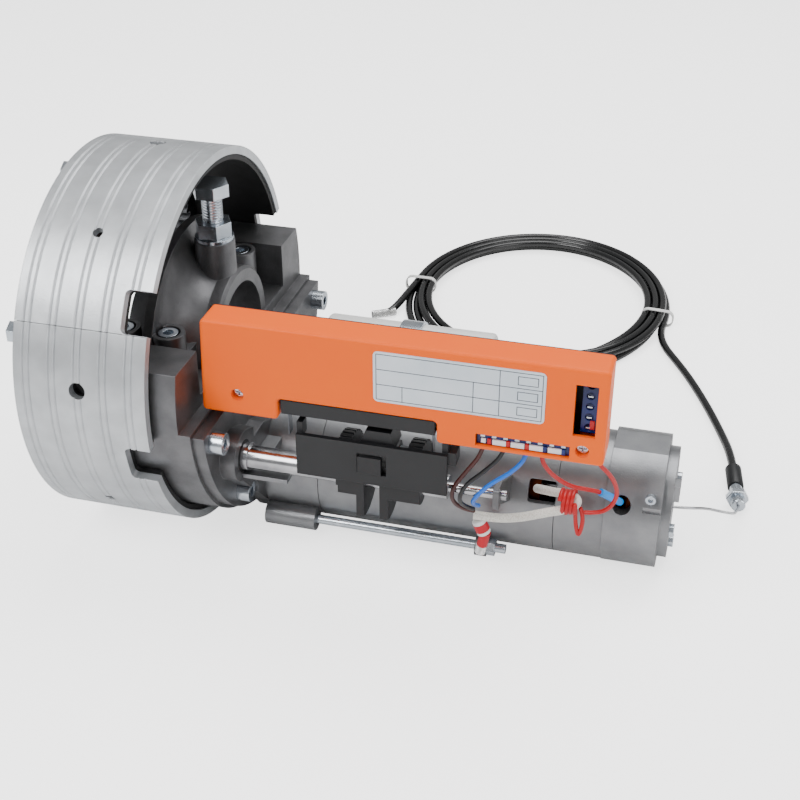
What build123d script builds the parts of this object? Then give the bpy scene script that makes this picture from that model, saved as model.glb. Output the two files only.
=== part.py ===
"""Central motor for a rolling shutter: a split 200 mm crown turns on a gear case clamped to a 60 mm axle tube.

Frame: +X runs along the axle from the crown to the motor's tail, +Z is up, and the origin lies on the axle's
axis in the plane of the crown's open rim. Angles about the axle are counted from +Y towards +Z.
"""

import os
from math import acos, cos, pi, radians, sin, sqrt, tan

from build123d import *

os.makedirs("parts", exist_ok=True)

# ---- driving dimensions, millimetres and degrees ----
AXLE_R = 30.0
CROWN_R = 100.0
CROWN_WIDTH = 68.4
CROWN_WALL = 4.5
CROWN_INNER_R = CROWN_R - CROWN_WALL
CROWN_SPLIT = -8.0
CROWN_SEGMENT_ARC = 161.5
GROOVE_X = (-62.0, -48.5, -35.3, -22.0, -8.8)
GROOVE_GAP = 3.2
GROOVE_D = 0.7
FLANGE_T = 4.0
FLANGE_R = 84.0
HOLE_X = -35.0
HOLE_START = 36.0
NOTCH_ANGLES = (147.2, 193.5, 327.2, 13.5)
NOTCH_DEPTH = 13.5
NOTCH_ARC = 12.0
LINER_R = 92.6
CASE_R = 91.8
CASE_WALL = 3.5
CASE_BACK_X = -46.0
CASE_FRONT_X = 18.0
SHELF_Z = 25.0
HUB_R = 38.0
CUT_START_R = 88.0
DOME_R = 62.0
MODULE_RING = 2.0
RING_TEETH = 84
OUTPUT_TEETH = 18
SPINDLE_TEETH = 15
MODULE_FINE = 0.55
PINION_TEETH = 14
WHEEL_TEETH = 77
RING_X = (-62.0, -50.0)
MOTOR_Z = -(RING_TEETH - OUTPUT_TEETH) * MODULE_RING / 2
MOTOR_R = 34.0
SEAM_FRONT_X = 62.0
SEAM_REAR_X = 188.0
BRAKE_X = 213.0
TAIL_X = 241.0
SPINDLE_ANGLE = 210.0
SPINDLE_REACH = (RING_TEETH - SPINDLE_TEETH) * MODULE_RING / 2
SPINDLE_Y = SPINDLE_REACH * cos(radians(SPINDLE_ANGLE))
SPINDLE_Z = SPINDLE_REACH * sin(radians(SPINDLE_ANGLE))
SPINDLE_R = 6.0
COUNTER_REACH = (PINION_TEETH + WHEEL_TEETH) * MODULE_FINE / 2
COUNTER_ANGLE = 25.0
COUNTER_Y = COUNTER_REACH * cos(radians(COUNTER_ANGLE))
COUNTER_Z = MOTOR_Z + COUNTER_REACH * sin(radians(COUNTER_ANGLE))
RUNNING = 0.05
BOX_X = (17.0, 214.0)
BOX_Z = (-2.0, 48.0)
BOX_FRONT_Y = -72.0
BOX_DEPTH = 17.0
FLOOR_Z = -CROWN_R
SHEATH_R = 2.5
ROD_R = 2.5
ROD_PLACES = ((-31.0, -89.5), (31.0, -89.5))
CAPACITOR_R = 17.0
CAPACITOR_YZ = (52.0, -27.0)


# ---- shared shapes ----
def radial_plane(angle):
    """Half plane through the axle: sketch x runs along the axle and sketch y runs outwards at this angle."""
    s, c = sin(radians(angle)), cos(radians(angle))
    return Plane(origin=(0, 0, 0), x_dir=(1, 0, 0), z_dir=(0, -s, c))


def polar(radius, angle):
    """Place (y, z) at a radius and an angle about the axle."""
    return (radius * cos(radians(angle)), radius * sin(radians(angle)))


def disc(x, length, radius, at=(0.0, 0.0), mode=Mode.ADD):
    """Cylinder along the axle's direction from x to x + length, about the point at."""
    with BuildSketch(Plane.YZ.offset(x)) as face:
        with Locations(at):
            Circle(radius)
    extrude(face.sketch, amount=length, mode=mode)


def ring(x, length, outer, inner, at=(0.0, 0.0), mode=Mode.ADD):
    """Plain ring along the axle's direction."""
    with BuildSketch(Plane.YZ.offset(x)) as face:
        with Locations(at):
            Circle(outer)
            Circle(inner, mode=Mode.SUBTRACT)
    extrude(face.sketch, amount=length, mode=mode)


def block(low, high, mode=Mode.ADD):
    """Box between two corners."""
    size = [b - a for a, b in zip(low, high)]
    with Locations(tuple((a + b) / 2 for a, b in zip(low, high))):
        Box(*size, mode=mode)


def tooth_half_angle(radius, teeth, module, thinning):
    """Half of an involute tooth's angle at a radius, for a pressure angle of 25 degrees."""
    pitch_r = module * teeth / 2
    pressure = radians(25)
    base_r = pitch_r * cos(pressure)
    here = acos(min(1.0, base_r / max(radius, base_r)))
    at_pitch = (pi * module / 2 - thinning) / (2 * pitch_r)
    return at_pitch + (tan(pressure) - pressure) - (tan(here) - here)


def gear_sketch(teeth, module, start, thinning, add=0.8, root=1.0):
    """Toothed disc whose first tooth points at the angle start; thinning is taken off each tooth's width."""
    pitch_r = module * teeth / 2
    radii = [pitch_r + module * (add + root) * k / 3 - module * root for k in range(4)]
    Circle(radii[0] + 0.02 * module)
    side = [(r, tooth_half_angle(r, teeth, module, thinning)) for r in radii]
    outline = [(r * cos(a), r * sin(a)) for r, a in side]
    inside = radii[0] - 0.3 * module
    outline = [(inside, outline[0][1])] + outline
    mirrored = [(x, -y) for x, y in reversed(outline)]
    with PolarLocations(0, teeth, start_angle=start):
        Polygon(*(outline + mirrored), align=None)


def hex_screw(plane, across, head, shank_r, shank):
    """Hexagon head on a plane, with its shank below it."""
    with BuildSketch(plane) as hexagon:
        RegularPolygon(across / sqrt(3), 6)
    extrude(hexagon.sketch, amount=head)
    with BuildSketch(plane) as round_end:
        Circle(shank_r)
    extrude(round_end.sketch, amount=-shank)


def socket_screw(plane, head_r, head, key, shank_r, shank):
    """Cylinder head with a hexagon socket on a plane, with its shank below it."""
    with BuildSketch(plane) as cylinder:
        Circle(head_r)
    extrude(cylinder.sketch, amount=head)
    with BuildSketch(plane.offset(head)) as socket:
        RegularPolygon(key / sqrt(3), 6)
    extrude(socket.sketch, amount=-head * 0.55, mode=Mode.SUBTRACT)
    with BuildSketch(plane) as round_end:
        Circle(shank_r)
    extrude(round_end.sketch, amount=-shank)


def bend_radii(points):
    """One radius for each corner of a route: 0.45 of the shorter run over the tangent of half the turn."""
    corners = [Vector(*p) for p in points]
    radii = []
    for before, here, after in zip(corners, corners[1:], corners[2:]):
        arrive, leave = here - before, after - here
        turn = radians(arrive.get_angle(leave))
        radii.append(0.45 * min(arrive.length, leave.length) / tan(turn / 2))
    return radii


def cord(points, radius, name):
    """Tube along straight runs joined by tangent arcs."""
    radii = bend_radii(points)
    with BuildPart() as tube:
        with BuildLine() as route:
            FilletPolyline(*points, radius=radii)
        path = route.wires()[0]
        with BuildSketch(Plane(origin=path @ 0, z_dir=path % 0)):
            Circle(radius)
        sweep(path=path)
    expected = pi * radius**2 * path.length
    print(name, "length", round(path.length, 1), "radii", [round(r, 1) for r in radii],
          "volume ratio", round(tube.part.volume / expected, 4))
    return tube


def save(made, name):
    """Label a finished piece and write it."""
    made.part.label = name
    export_step(made.part, f"parts/{name}.step")


# ---- crown ----
def crown_profile(plane):
    """Section of the crown's wall: outer face with five double grooves, and an inner flange at the back."""
    inside_x = -CROWN_WIDTH + FLANGE_T
    points = [(-CROWN_WIDTH, FLANGE_R), (-CROWN_WIDTH, CROWN_R)]
    for x in GROOVE_X:
        for side in (-GROOVE_GAP / 2, GROOVE_GAP / 2):
            middle = x + side
            points += [(middle - GROOVE_D, CROWN_R), (middle, CROWN_R - GROOVE_D)]
            points += [(middle + GROOVE_D, CROWN_R)]
    points += [(0.0, CROWN_R), (0.0, CROWN_INNER_R), (inside_x, CROWN_INNER_R), (inside_x, FLANGE_R)]
    with BuildSketch(plane) as section:
        Polygon(*points, align=None)
    return section.sketch


def outward_plane(angle):
    """Plane inside the crown's wall that faces outwards at an angle, with its sketch x along the axle."""
    y, z = polar(CUT_START_R, angle)
    return Plane(origin=(0, y, z), x_dir=(1, 0, 0), z_dir=(0, y, z))


def cut_crown_features():
    """Notches in the rim, alternating threaded and plain holes, and holes for the back bolts."""
    for angle in NOTCH_ANGLES:
        with BuildSketch(outward_plane(angle)) as notch:
            with Locations((1 - NOTCH_DEPTH / 2, 0)):
                RectangleRounded(NOTCH_DEPTH + 2, 2 * CROWN_R * sin(radians(NOTCH_ARC / 2)), 2.5)
        extrude(notch.sketch, amount=20, mode=Mode.SUBTRACT)
    for index in range(8):
        angle = HOLE_START + 45 * index
        hole_r = 4.25 if index % 2 else 2.6
        with BuildSketch(outward_plane(angle)) as hole:
            with Locations((HOLE_X, 0)):
                Circle(hole_r)
        extrude(hole.sketch, amount=20, mode=Mode.SUBTRACT)


BACK_BOLT_R = 90.0
BACK_BOLT_ANGLES = [97.5 + 60 * k for k in range(6)]


def cut_back_bolts(x, length, radius=3.2):
    """Clearance holes for the bolts that hold the ring gear in the crown's back flange."""
    for angle in BACK_BOLT_ANGLES:
        disc(x, length, radius, polar(BACK_BOLT_R, angle), Mode.SUBTRACT)


def crown_piece(start, arc):
    """One of the two castings that close round the axle."""
    with BuildPart() as piece:
        revolve(crown_profile(radial_plane(start)), axis=Axis.X, revolution_arc=arc)
        cut_crown_features()
        cut_back_bolts(-CROWN_WIDTH - 1, 6)
    return piece


JOINT_GAP = 0.15
crown_segment = crown_piece(CROWN_SPLIT + JOINT_GAP, CROWN_SEGMENT_ARC - 2 * JOINT_GAP)
save(crown_segment, "crown_segment")
crown_main = crown_piece(CROWN_SPLIT + CROWN_SEGMENT_ARC, 360 - CROWN_SEGMENT_ARC)
save(crown_main, "crown_main")

with BuildPart() as crown_liner:
    ring(RING_X[1] + 0.2, -RING_X[1] - 1.2, CROWN_INNER_R - 0.02, LINER_R)
    cut_crown_features()
save(crown_liner, "crown_liner")

with BuildPart() as ring_gear:
    with BuildSketch(Plane.YZ.offset(RING_X[0])):
        Circle(CROWN_INNER_R - 0.05)
        with BuildSketch(Plane.YZ, mode=Mode.SUBTRACT):
            gear_sketch(RING_TEETH, MODULE_RING, 0, -0.3, add=1.1, root=0.75)
    extrude(amount=RING_X[1] - RING_X[0])
    cut_back_bolts(RING_X[0] - 1, 9, 3.1)
save(ring_gear, "ring_gear")

with BuildPart() as crown_back_bolts:
    for angle in BACK_BOLT_ANGLES:
        y, z = polar(BACK_BOLT_R, angle)
        hex_screw(Plane(origin=(-CROWN_WIDTH, y, z), z_dir=(-1, 0, 0)), 10.0, 6.5, 3.0, 12.0)
save(crown_back_bolts, "crown_back_bolts")

# ---- gear case and axle clamp ----
COVER_SCREWS = [polar(81.0, a) for a in (191.0, 232.0, 308.0, 349.0)]
CLAMP_SCREWS = [(x, y) for x in (-8.0, -32.0) for y in (-50.0, 50.0)]
BORES = ((0.0, MOTOR_Z), (COUNTER_Y, COUNTER_Z))
SHAFT_R = 4.0
BEARING_R = 11.0


def case_outline(radius, top):
    """Disc about the axle cut flat along its top."""
    Circle(radius)
    with Locations((0, top + radius)):
        Rectangle(2 * radius, 2 * radius, mode=Mode.SUBTRACT)


with BuildPart() as gear_case:
    with BuildSketch(Plane.YZ.offset(CASE_BACK_X)):
        case_outline(CASE_R, SHELF_Z)
    extrude(amount=CASE_FRONT_X - CASE_BACK_X)
    with BuildSketch(Plane.YZ.offset(-38)):
        case_outline(CASE_R - CASE_WALL, -14)
        Circle(HUB_R, mode=Mode.SUBTRACT)
    extrude(amount=80, mode=Mode.SUBTRACT)
    disc(CASE_BACK_X - 1, 100, AXLE_R, mode=Mode.SUBTRACT)
    block((CASE_BACK_X - 1, -DOME_R - 0.5, 0), (30, DOME_R + 0.5, 40), Mode.SUBTRACT)
    block((12, -100, -6), (30, 100, 40), Mode.SUBTRACT)
    for at in COVER_SCREWS:
        disc(-38, CASE_FRONT_X + 38, 6.0, at)
        disc(0, 40, 3.1, at, Mode.SUBTRACT)
    for at in BORES:
        ring(-38, 9, BEARING_R + 3, BEARING_R, at)
    disc(-50, 12, SHAFT_R + 1, BORES[0], Mode.SUBTRACT)
    ring(-38, 10, 9.0, SPINDLE_R + 2, (SPINDLE_Y, SPINDLE_Z))
    disc(-50, 16, SPINDLE_R + RUNNING, (SPINDLE_Y, SPINDLE_Z), Mode.SUBTRACT)
    for x, y in CLAMP_SCREWS:
        with BuildSketch(Plane.XY.offset(1)):
            with Locations((x, y)):
                Circle(3.1)
        extrude(amount=-13, mode=Mode.SUBTRACT)
save(gear_case, "gear_case")

BOSS_X = -1.0
BOSS_TOP = 56.0
with BuildPart() as axle_clamp_cap:
    with BuildSketch(radial_plane(0)):
        with BuildLine():
            Polyline((-38, AXLE_R), (10.5, AXLE_R), (10.5, HUB_R - 1.5), (9, HUB_R), (3, HUB_R))
            ThreePointArc((3, HUB_R), (-9, 46), (-14, DOME_R - 2))
            Polyline((-14, DOME_R - 2), (-14, DOME_R), (-19, DOME_R), (-19, DOME_R - 4), (-16, 47),
                     (-6, HUB_R))
            Polyline((-6, HUB_R), (-38, HUB_R), (-38, AXLE_R))
        make_face()
    revolve(axis=Axis.X, revolution_arc=180)
    with BuildSketch(Plane.XY.offset(BOSS_TOP)):
        with Locations((BOSS_X, 0)):
            Circle(10.5)
    extrude(amount=-BOSS_TOP + AXLE_R + 4)
    for x, y in CLAMP_SCREWS:
        with BuildSketch(Plane.XY.offset(0.1)):
            with Locations((x, y)):
                Circle(8.5)
        extrude(amount=26)
        with BuildSketch(Plane.XY.offset(0.1)):
            with Locations((x, y * 0.82)):
                Rectangle(17, 14)
        extrude(amount=14)
    disc(-60, 100, AXLE_R, mode=Mode.SUBTRACT)
    block((-40, -70, -20), (20, 70, 0.1), Mode.SUBTRACT)
    for x, y in CLAMP_SCREWS:
        with BuildSketch(Plane.XY):
            with Locations((x, y)):
                Circle(3.3)
        extrude(amount=40, mode=Mode.SUBTRACT)
        with BuildSketch(Plane.XY.offset(20)):
            with Locations((x, y)):
                Circle(6.2)
        extrude(amount=40, mode=Mode.SUBTRACT)
    with BuildSketch(Plane.XY.offset(20)):
        with Locations((BOSS_X, 0)):
            Circle(5.2)
    extrude(amount=50, mode=Mode.SUBTRACT)
save(axle_clamp_cap, "axle_clamp_cap")

with BuildPart() as clamp_cap_screws:
    for x, y in CLAMP_SCREWS:
        socket_screw(Plane(origin=(x, y, 20), z_dir=(0, 0, 1)), 5.0, 6.0, 5.0, 3.0, 30.0)
save(clamp_cap_screws, "clamp_cap_screws")

with BuildPart() as axle_clamp_bolt:
    hex_screw(Plane(origin=(BOSS_X, 0, 80), z_dir=(0, 0, 1)), 17.0, 6.5, 5.0, 49.0)
save(axle_clamp_bolt, "axle_clamp_bolt")

with BuildPart() as clamp_lock_nut:
    with BuildSketch(Plane(origin=(BOSS_X, 0, BOSS_TOP), z_dir=(0, 0, 1))):
        Circle(10.0)
        Circle(5.1, mode=Mode.SUBTRACT)
    extrude(amount=2)
    with BuildSketch(Plane(origin=(BOSS_X, 0, BOSS_TOP + 2), z_dir=(0, 0, 1))):
        RegularPolygon(17.0 / sqrt(3), 6)
        Circle(5.1, mode=Mode.SUBTRACT)
    extrude(amount=8)
save(clamp_lock_nut, "clamp_lock_nut")

# ---- gear case cover, with the spindle's boss ----
COVER_T = 6.0
COVER_END = CASE_FRONT_X + COVER_T
with BuildPart() as gear_case_cover:
    with BuildSketch(Plane.YZ.offset(CASE_FRONT_X)):
        case_outline(CASE_R - 2, -8)
        Circle(HUB_R - 3, mode=Mode.SUBTRACT)
    extrude(amount=COVER_T)
    with BuildSketch(Plane.YZ.offset(COVER_END)):
        with Locations((SPINDLE_Y, SPINDLE_Z)):
            Circle(13.4)
        with Locations((0, MOTOR_Z)):
            Circle(MOTOR_R)
        with BuildLine():
            Polyline((SPINDLE_Y - 5, SPINDLE_Z - 12), (-20, MOTOR_Z - 27), (-16, MOTOR_Z + 28),
                     (SPINDLE_Y + 6, SPINDLE_Z + 12), close=True)
        make_face()
        with Locations((0, -2)):
            Rectangle(90, 60, mode=Mode.SUBTRACT)
    extrude(amount=8)
    disc(CASE_FRONT_X - 1, 40, 11.0, (0, MOTOR_Z), Mode.SUBTRACT)
    disc(CASE_FRONT_X - 1, 40, SPINDLE_R + 2.5, (SPINDLE_Y, SPINDLE_Z), Mode.SUBTRACT)
    ring(COVER_END - 9, 3, BEARING_R + 3, BEARING_R, (COUNTER_Y, COUNTER_Z))
    for at in COVER_SCREWS:
        disc(0, 60, 3.2, at, Mode.SUBTRACT)
        disc(COVER_END, 40, 6.2, at, Mode.SUBTRACT)
save(gear_case_cover, "gear_case_cover")

with BuildPart() as gear_cover_screws:
    for y, z in COVER_SCREWS:
        socket_screw(Plane(origin=(COVER_END, y, z), z_dir=(1, 0, 0)), 5.6, 7.0, 5.0, 3.0, 20.0)
save(gear_cover_screws, "gear_cover_screws")

with BuildPart() as spindle_seal:
    ring(COVER_END, 8, SPINDLE_R + 2.5, SPINDLE_R + RUNNING, (SPINDLE_Y, SPINDLE_Z))
save(spindle_seal, "spindle_seal")

# ---- gear train ----
with BuildPart() as gear_bearings:
    ring(-38, 8, BEARING_R, SHAFT_R + RUNNING, BORES[0])
    ring(-38, 8, BEARING_R, SHAFT_R + RUNNING, BORES[1])
save(gear_bearings, "gear_bearings")

FINE_THINNING = 0.12
first_direction = COUNTER_ANGLE
with BuildPart() as output_gear:
    with BuildSketch(Plane.YZ.offset(-24)):
        with Locations((0, MOTOR_Z)):
            gear_sketch(WHEEL_TEETH, MODULE_FINE, first_direction, FINE_THINNING)
    extrude(amount=8)
    disc(-62, 38, SHAFT_R, (0, MOTOR_Z))
    with BuildSketch(Plane.YZ.offset(RING_X[0] + 0.5)):
        with Locations((0, MOTOR_Z)):
            gear_sketch(OUTPUT_TEETH, MODULE_RING, 270, 0.35)
    extrude(amount=RING_X[1] - RING_X[0] - 1)
save(output_gear, "output_gear")

with BuildPart() as counter_gear:
    with BuildSketch(Plane.YZ.offset(2)):
        with Locations((COUNTER_Y, COUNTER_Z)):
            gear_sketch(WHEEL_TEETH, MODULE_FINE, first_direction + 180 + 180 / WHEEL_TEETH, FINE_THINNING)
    extrude(amount=7)
    with BuildSketch(Plane.YZ.offset(-24.5)):
        with Locations((COUNTER_Y, COUNTER_Z)):
            gear_sketch(PINION_TEETH, MODULE_FINE, first_direction + 180 + 180 / PINION_TEETH, FINE_THINNING)
    extrude(amount=27)
    disc(-37, 52, 3.0, (COUNTER_Y, COUNTER_Z))
    disc(-37, 12, SHAFT_R, (COUNTER_Y, COUNTER_Z))
save(counter_gear, "counter_gear")

# ---- limit switch spindle ----
SPINDLE_AT = (SPINDLE_Y, SPINDLE_Z)
SPINDLE_END_X = 168.0
PLATE_X = (64.0, 140.0)
PLATE_Z = (-33.0, -10.0)
PLATE_Y = (-70.0, -67.4)
BUTTON_X = (95.5, 107.3)
BUTTON_Z = (-26.6, -17.2)
NUT_R = 22.0
NUT_FLAT_Y = -67.1
NUT_RIBS = 36
NUT_SHOULDER_R = 17.0
NUT_HUB_R = 11.0
THUMB_CUT_Z = -38.5
TONGUE_TOP_Z = -24.0
BRACKET_X = (162.0, 165.0)

with BuildPart() as limit_spindle:
    with BuildSketch(Plane.YZ.offset(RING_X[0] + 0.5)):
        with Locations(SPINDLE_AT):
            gear_sketch(SPINDLE_TEETH, MODULE_RING, SPINDLE_ANGLE, 0.35)
    extrude(amount=RING_X[1] - RING_X[0] - 1)
    disc(-62, 201, SPINDLE_R, SPINDLE_AT)
    disc(COVER_END + 8.2, 3.5, SPINDLE_R + 1.2, SPINDLE_AT)
    disc(139, SPINDLE_END_X - 139, 2.5, SPINDLE_AT)
save(limit_spindle, "limit_spindle")


def limit_nut(wheel, fin, hub_end):
    """Travelling nut: a ribbed thumb sector on top, a round tongue below, and a flat against the plate."""
    with BuildPart() as nut:
        with BuildSketch(Plane.YZ.offset(wheel[0])):
            with Locations(SPINDLE_AT):
                Circle(NUT_R - 1.2)
                with PolarLocations(NUT_R - 1.6, NUT_RIBS):
                    Rectangle(3.0, 2.1)
        extrude(amount=wheel[1] - wheel[0])
        disc(min(hub_end, wheel[0]), abs(wheel[0] - hub_end), NUT_SHOULDER_R, SPINDLE_AT)
        block((0, -100, -80), (200, 0, THUMB_CUT_Z), Mode.SUBTRACT)
        with BuildSketch(Plane.YZ.offset(fin[0])) as tongue:
            with Locations(SPINDLE_AT):
                Circle(NUT_R)
            with Locations((SPINDLE_Y, TONGUE_TOP_Z + NUT_R)):
                Rectangle(3 * NUT_R, 2 * NUT_R, mode=Mode.SUBTRACT)
        extrude(tongue.sketch, amount=fin[1] - fin[0])
        disc(min(wheel[0], fin[0]), max(wheel[1], fin[1]) - min(wheel[0], fin[0]), NUT_HUB_R, SPINDLE_AT)
        block((0, -100, -80), (200, NUT_FLAT_Y, 0), Mode.SUBTRACT)
        disc(0, 200, SPINDLE_R + RUNNING, SPINDLE_AT, Mode.SUBTRACT)
    return nut


limit_nut_near = limit_nut((84.0, 90.0), (93.5, 97.5), 83.0)
save(limit_nut_near, "limit_nut_near")
limit_nut_far = limit_nut((119.0, 126.0), (105.5, 110.0), 113.0)
save(limit_nut_far, "limit_nut_far")

with BuildPart() as lock_plate:
    block((PLATE_X[0], PLATE_Y[0], PLATE_Z[0]), (PLATE_X[1], PLATE_Y[1], PLATE_Z[1]))
    block((BUTTON_X[0] - 0.4, -80, BUTTON_Z[0] - 0.4), (BUTTON_X[1] + 2.5, -60, BUTTON_Z[1] + 1.6),
          Mode.SUBTRACT)
    block((PLATE_X[1], PLATE_Y[0] + 2, -16), (PLATE_X[1] + 4, PLATE_Y[1] + 8, -9))
    block((PLATE_X[0], PLATE_Y[1], -12.0), (PLATE_X[0] + 3, PLATE_Y[1] + 6, -4.2))
    block((PLATE_X[1] - 3, PLATE_Y[1], -12.0), (PLATE_X[1], PLATE_Y[1] + 6, -4.2))
save(lock_plate, "lock_plate")

with BuildPart() as lock_button:
    block((BUTTON_X[0], PLATE_Y[0] - 0.8, BUTTON_Z[0]), (BUTTON_X[1], PLATE_Y[1] - 0.6, BUTTON_Z[1]))
save(lock_button, "lock_button")

with BuildPart() as spindle_end_bracket:
    with BuildSketch(Plane.YZ.offset(BRACKET_X[0])):
        with Locations(SPINDLE_AT):
            RectangleRounded(12, 12, 2)
        with BuildLine():
            Polyline((SPINDLE_Y, SPINDLE_Z - 6), (-33, SPINDLE_Z - 22), (-28, SPINDLE_Z - 10),
                     (SPINDLE_Y + 2, SPINDLE_Z + 6), close=True)
        make_face()
        with Locations((0, MOTOR_Z)):
            Circle(MOTOR_R + 0.2, mode=Mode.SUBTRACT)
        with Locations(SPINDLE_AT):
            Circle(2.5 + RUNNING, mode=Mode.SUBTRACT)
    extrude(amount=BRACKET_X[1] - BRACKET_X[0])
save(spindle_end_bracket, "spindle_end_bracket")

# ---- switch carrier and microswitches under the control box ----
CARRIER_Y = (-66.0, -50.0)
LEVER_PIVOTS = (58.0, 132.0)
with BuildPart() as switch_carrier:
    block((57.2, -70.0, 1.0), (133.8, CARRIER_Y[1], 8.6))
    block((62, CARRIER_Y[0] + 8, -4.0), (134.6, CARRIER_Y[1], 1.0))
    block((64, -60.0, 8.6), (126, CARRIER_Y[1], 9.5))
    with BuildSketch(Plane.XZ.offset(67.3)):
        with BuildLine():
            Polyline((95.5, -12.2), (113.5, -12.2), (111.5, -3.5), (99.0, -3.5), close=True)
        make_face()
    extrude(amount=-13.3)
    block((56.6, -69.0, 1.6), (61.0, -56.0, 10), Mode.SUBTRACT)
    block((129.8, -69.0, 1.6), (134.3, -56.0, 10), Mode.SUBTRACT)
    block((58, -67.0, 0), (60, -58.0, 5), Mode.SUBTRACT)
    block((130.6, -67.0, 0), (132.8, -58.0, 5), Mode.SUBTRACT)
save(switch_carrier, "switch_carrier")

with BuildPart() as microswitches:
    block((61.3, -68.5, 11.8), (81.0, -58.5, 20.5))
    block((109.0, -68.5, 11.8), (129.0, -58.5, 20.5))
save(microswitches, "microswitches")


def switch_lever(x):
    """Thin spring-steel finger that hangs in front of a microswitch."""
    with BuildPart() as lever:
        block((x - 0.25, -65.0, -14.0), (x + 0.25, -60.0, 8.0))
        with BuildSketch(Plane.XZ.offset(60.0)):
            with Locations((x, 8.0)):
                Circle(0.9)
        extrude(amount=5.0)
    return lever


lever_near = switch_lever(LEVER_PIVOTS[0] + 1.0)
save(lever_near, "switch_lever_near")
lever_far = switch_lever(LEVER_PIVOTS[1] - 0.3)
save(lever_far, "switch_lever_far")

# ---- motor ----
with BuildPart() as motor_front_bell:
    with BuildSketch(Plane.YZ.offset(COVER_END + 8)):
        with Locations((0, MOTOR_Z)):
            Circle(MOTOR_R)
        with Locations(*ROD_PLACES):
            Circle(6.4)
    extrude(amount=60.0 - COVER_END - 8)
    disc(60, SEAM_FRONT_X - 60.3, MOTOR_R, (0, MOTOR_Z))
    block((COVER_END + 8, -70, -140), (70, 70, -100), Mode.SUBTRACT)
    disc(COVER_END + 10, 40, MOTOR_R - 4, (0, MOTOR_Z), Mode.SUBTRACT)
    disc(COVER_END, 40, 11.0, (0, MOTOR_Z), Mode.SUBTRACT)
    block((COVER_END + 8, SPINDLE_Y - 4, SPINDLE_Z - 11), (56, SPINDLE_Y + 8, SPINDLE_Z - 8.6))
    block((COVER_END + 8, SPINDLE_Y + 8, SPINDLE_Z - 16), (40, -26, SPINDLE_Z - 8.6))
    for at in ROD_PLACES:
        disc(40, 40, ROD_R + 0.1, at, Mode.SUBTRACT)
save(motor_front_bell, "motor_front_bell")

with BuildPart() as stator_shell:
    ring(SEAM_FRONT_X, SEAM_REAR_X - SEAM_FRONT_X, MOTOR_R, MOTOR_R - 3, (0, MOTOR_Z))
    with BuildSketch(Plane(origin=(181.0, -60.0, -50.5), x_dir=(1, 0, 0), z_dir=(0, 1, 0))):
        RectangleRounded(14.0, 11.0, 1.5)
    extrude(amount=45, mode=Mode.SUBTRACT)
save(stator_shell, "stator_shell")

with BuildPart() as stator_core:
    with BuildSketch(Plane.YZ.offset(80)):
        with Locations((0, MOTOR_Z)):
            Circle(MOTOR_R - 3.02)
            Circle(17.5, mode=Mode.SUBTRACT)
            with PolarLocations(22.5, 24):
                Rectangle(8.0, 2.6, mode=Mode.SUBTRACT)
    extrude(amount=90)
save(stator_core, "stator_core")

with BuildPart() as stator_windings:
    ring(68.5, 11.3, 29.0, 18.5, (0, MOTOR_Z))
    ring(170.2, 9.0, 27.0, 18.5, (0, MOTOR_Z))
save(stator_windings, "stator_windings")

with BuildPart() as motor_rear_bell:
    ring(SEAM_REAR_X + 0.3, BRAKE_X - SEAM_REAR_X - 0.3, MOTOR_R, MOTOR_R - 3.5, (0, MOTOR_Z))
    ring(SEAM_REAR_X + 6, 8, MOTOR_R - 2, BEARING_R, (0, MOTOR_Z))
save(motor_rear_bell, "motor_rear_bell")

with BuildPart() as rotor:
    disc(10.5, 197.5, SHAFT_R, (0, MOTOR_Z))
    disc(81, 88, 17.0, (0, MOTOR_Z))
    with BuildSketch(Plane.YZ.offset(0.5)):
        with Locations((0, MOTOR_Z)):
            gear_sketch(PINION_TEETH, MODULE_FINE, first_direction, FINE_THINNING)
    extrude(amount=10)
    disc(204, 6, 22.0, (0, MOTOR_Z))
save(rotor, "rotor")

with BuildPart() as motor_bearings:
    ring(COVER_END + 1, 8, BEARING_R, SHAFT_R + RUNNING, (0, MOTOR_Z))
    ring(SEAM_REAR_X + 6, 8, BEARING_R, SHAFT_R + RUNNING, (0, MOTOR_Z))
save(motor_bearings, "motor_bearings")

TAIL_R = MOTOR_R + 1.2
with BuildPart() as brake_housing:
    with BuildSketch(Plane.YZ.offset(BRAKE_X)):
        with Locations((0, MOTOR_Z + 1.0)):
            Circle(TAIL_R)
        with Locations((0, -31.0 + 20)):
            Rectangle(90, 40, mode=Mode.SUBTRACT)
        with Locations((0, FLOOR_Z - 5)):
            Rectangle(90, 10, mode=Mode.SUBTRACT)
    extrude(amount=TAIL_X - BRAKE_X)
    disc(BRAKE_X - 1, TAIL_X - BRAKE_X + 2, MOTOR_R - 4, (0, MOTOR_Z), Mode.SUBTRACT)
    with BuildSketch(Plane(origin=(221.5, -60.0, -50.0), x_dir=(1, 0, 0), z_dir=(0, 1, 0))):
        Circle(4.6)
    extrude(amount=45, mode=Mode.SUBTRACT)
    block((232.0, -45, -52), (TAIL_X + 1, -31.5, -34), Mode.SUBTRACT)
save(brake_housing, "brake_housing")

with BuildPart() as brake_coil:
    ring(223, 14, 26.0, 9.0, (0, MOTOR_Z))
save(brake_coil, "brake_coil")

with BuildPart() as brake_armature:
    ring(214.0, 5.0, 22.0, 10.2, (0, MOTOR_Z))
save(brake_armature, "brake_armature")

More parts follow.
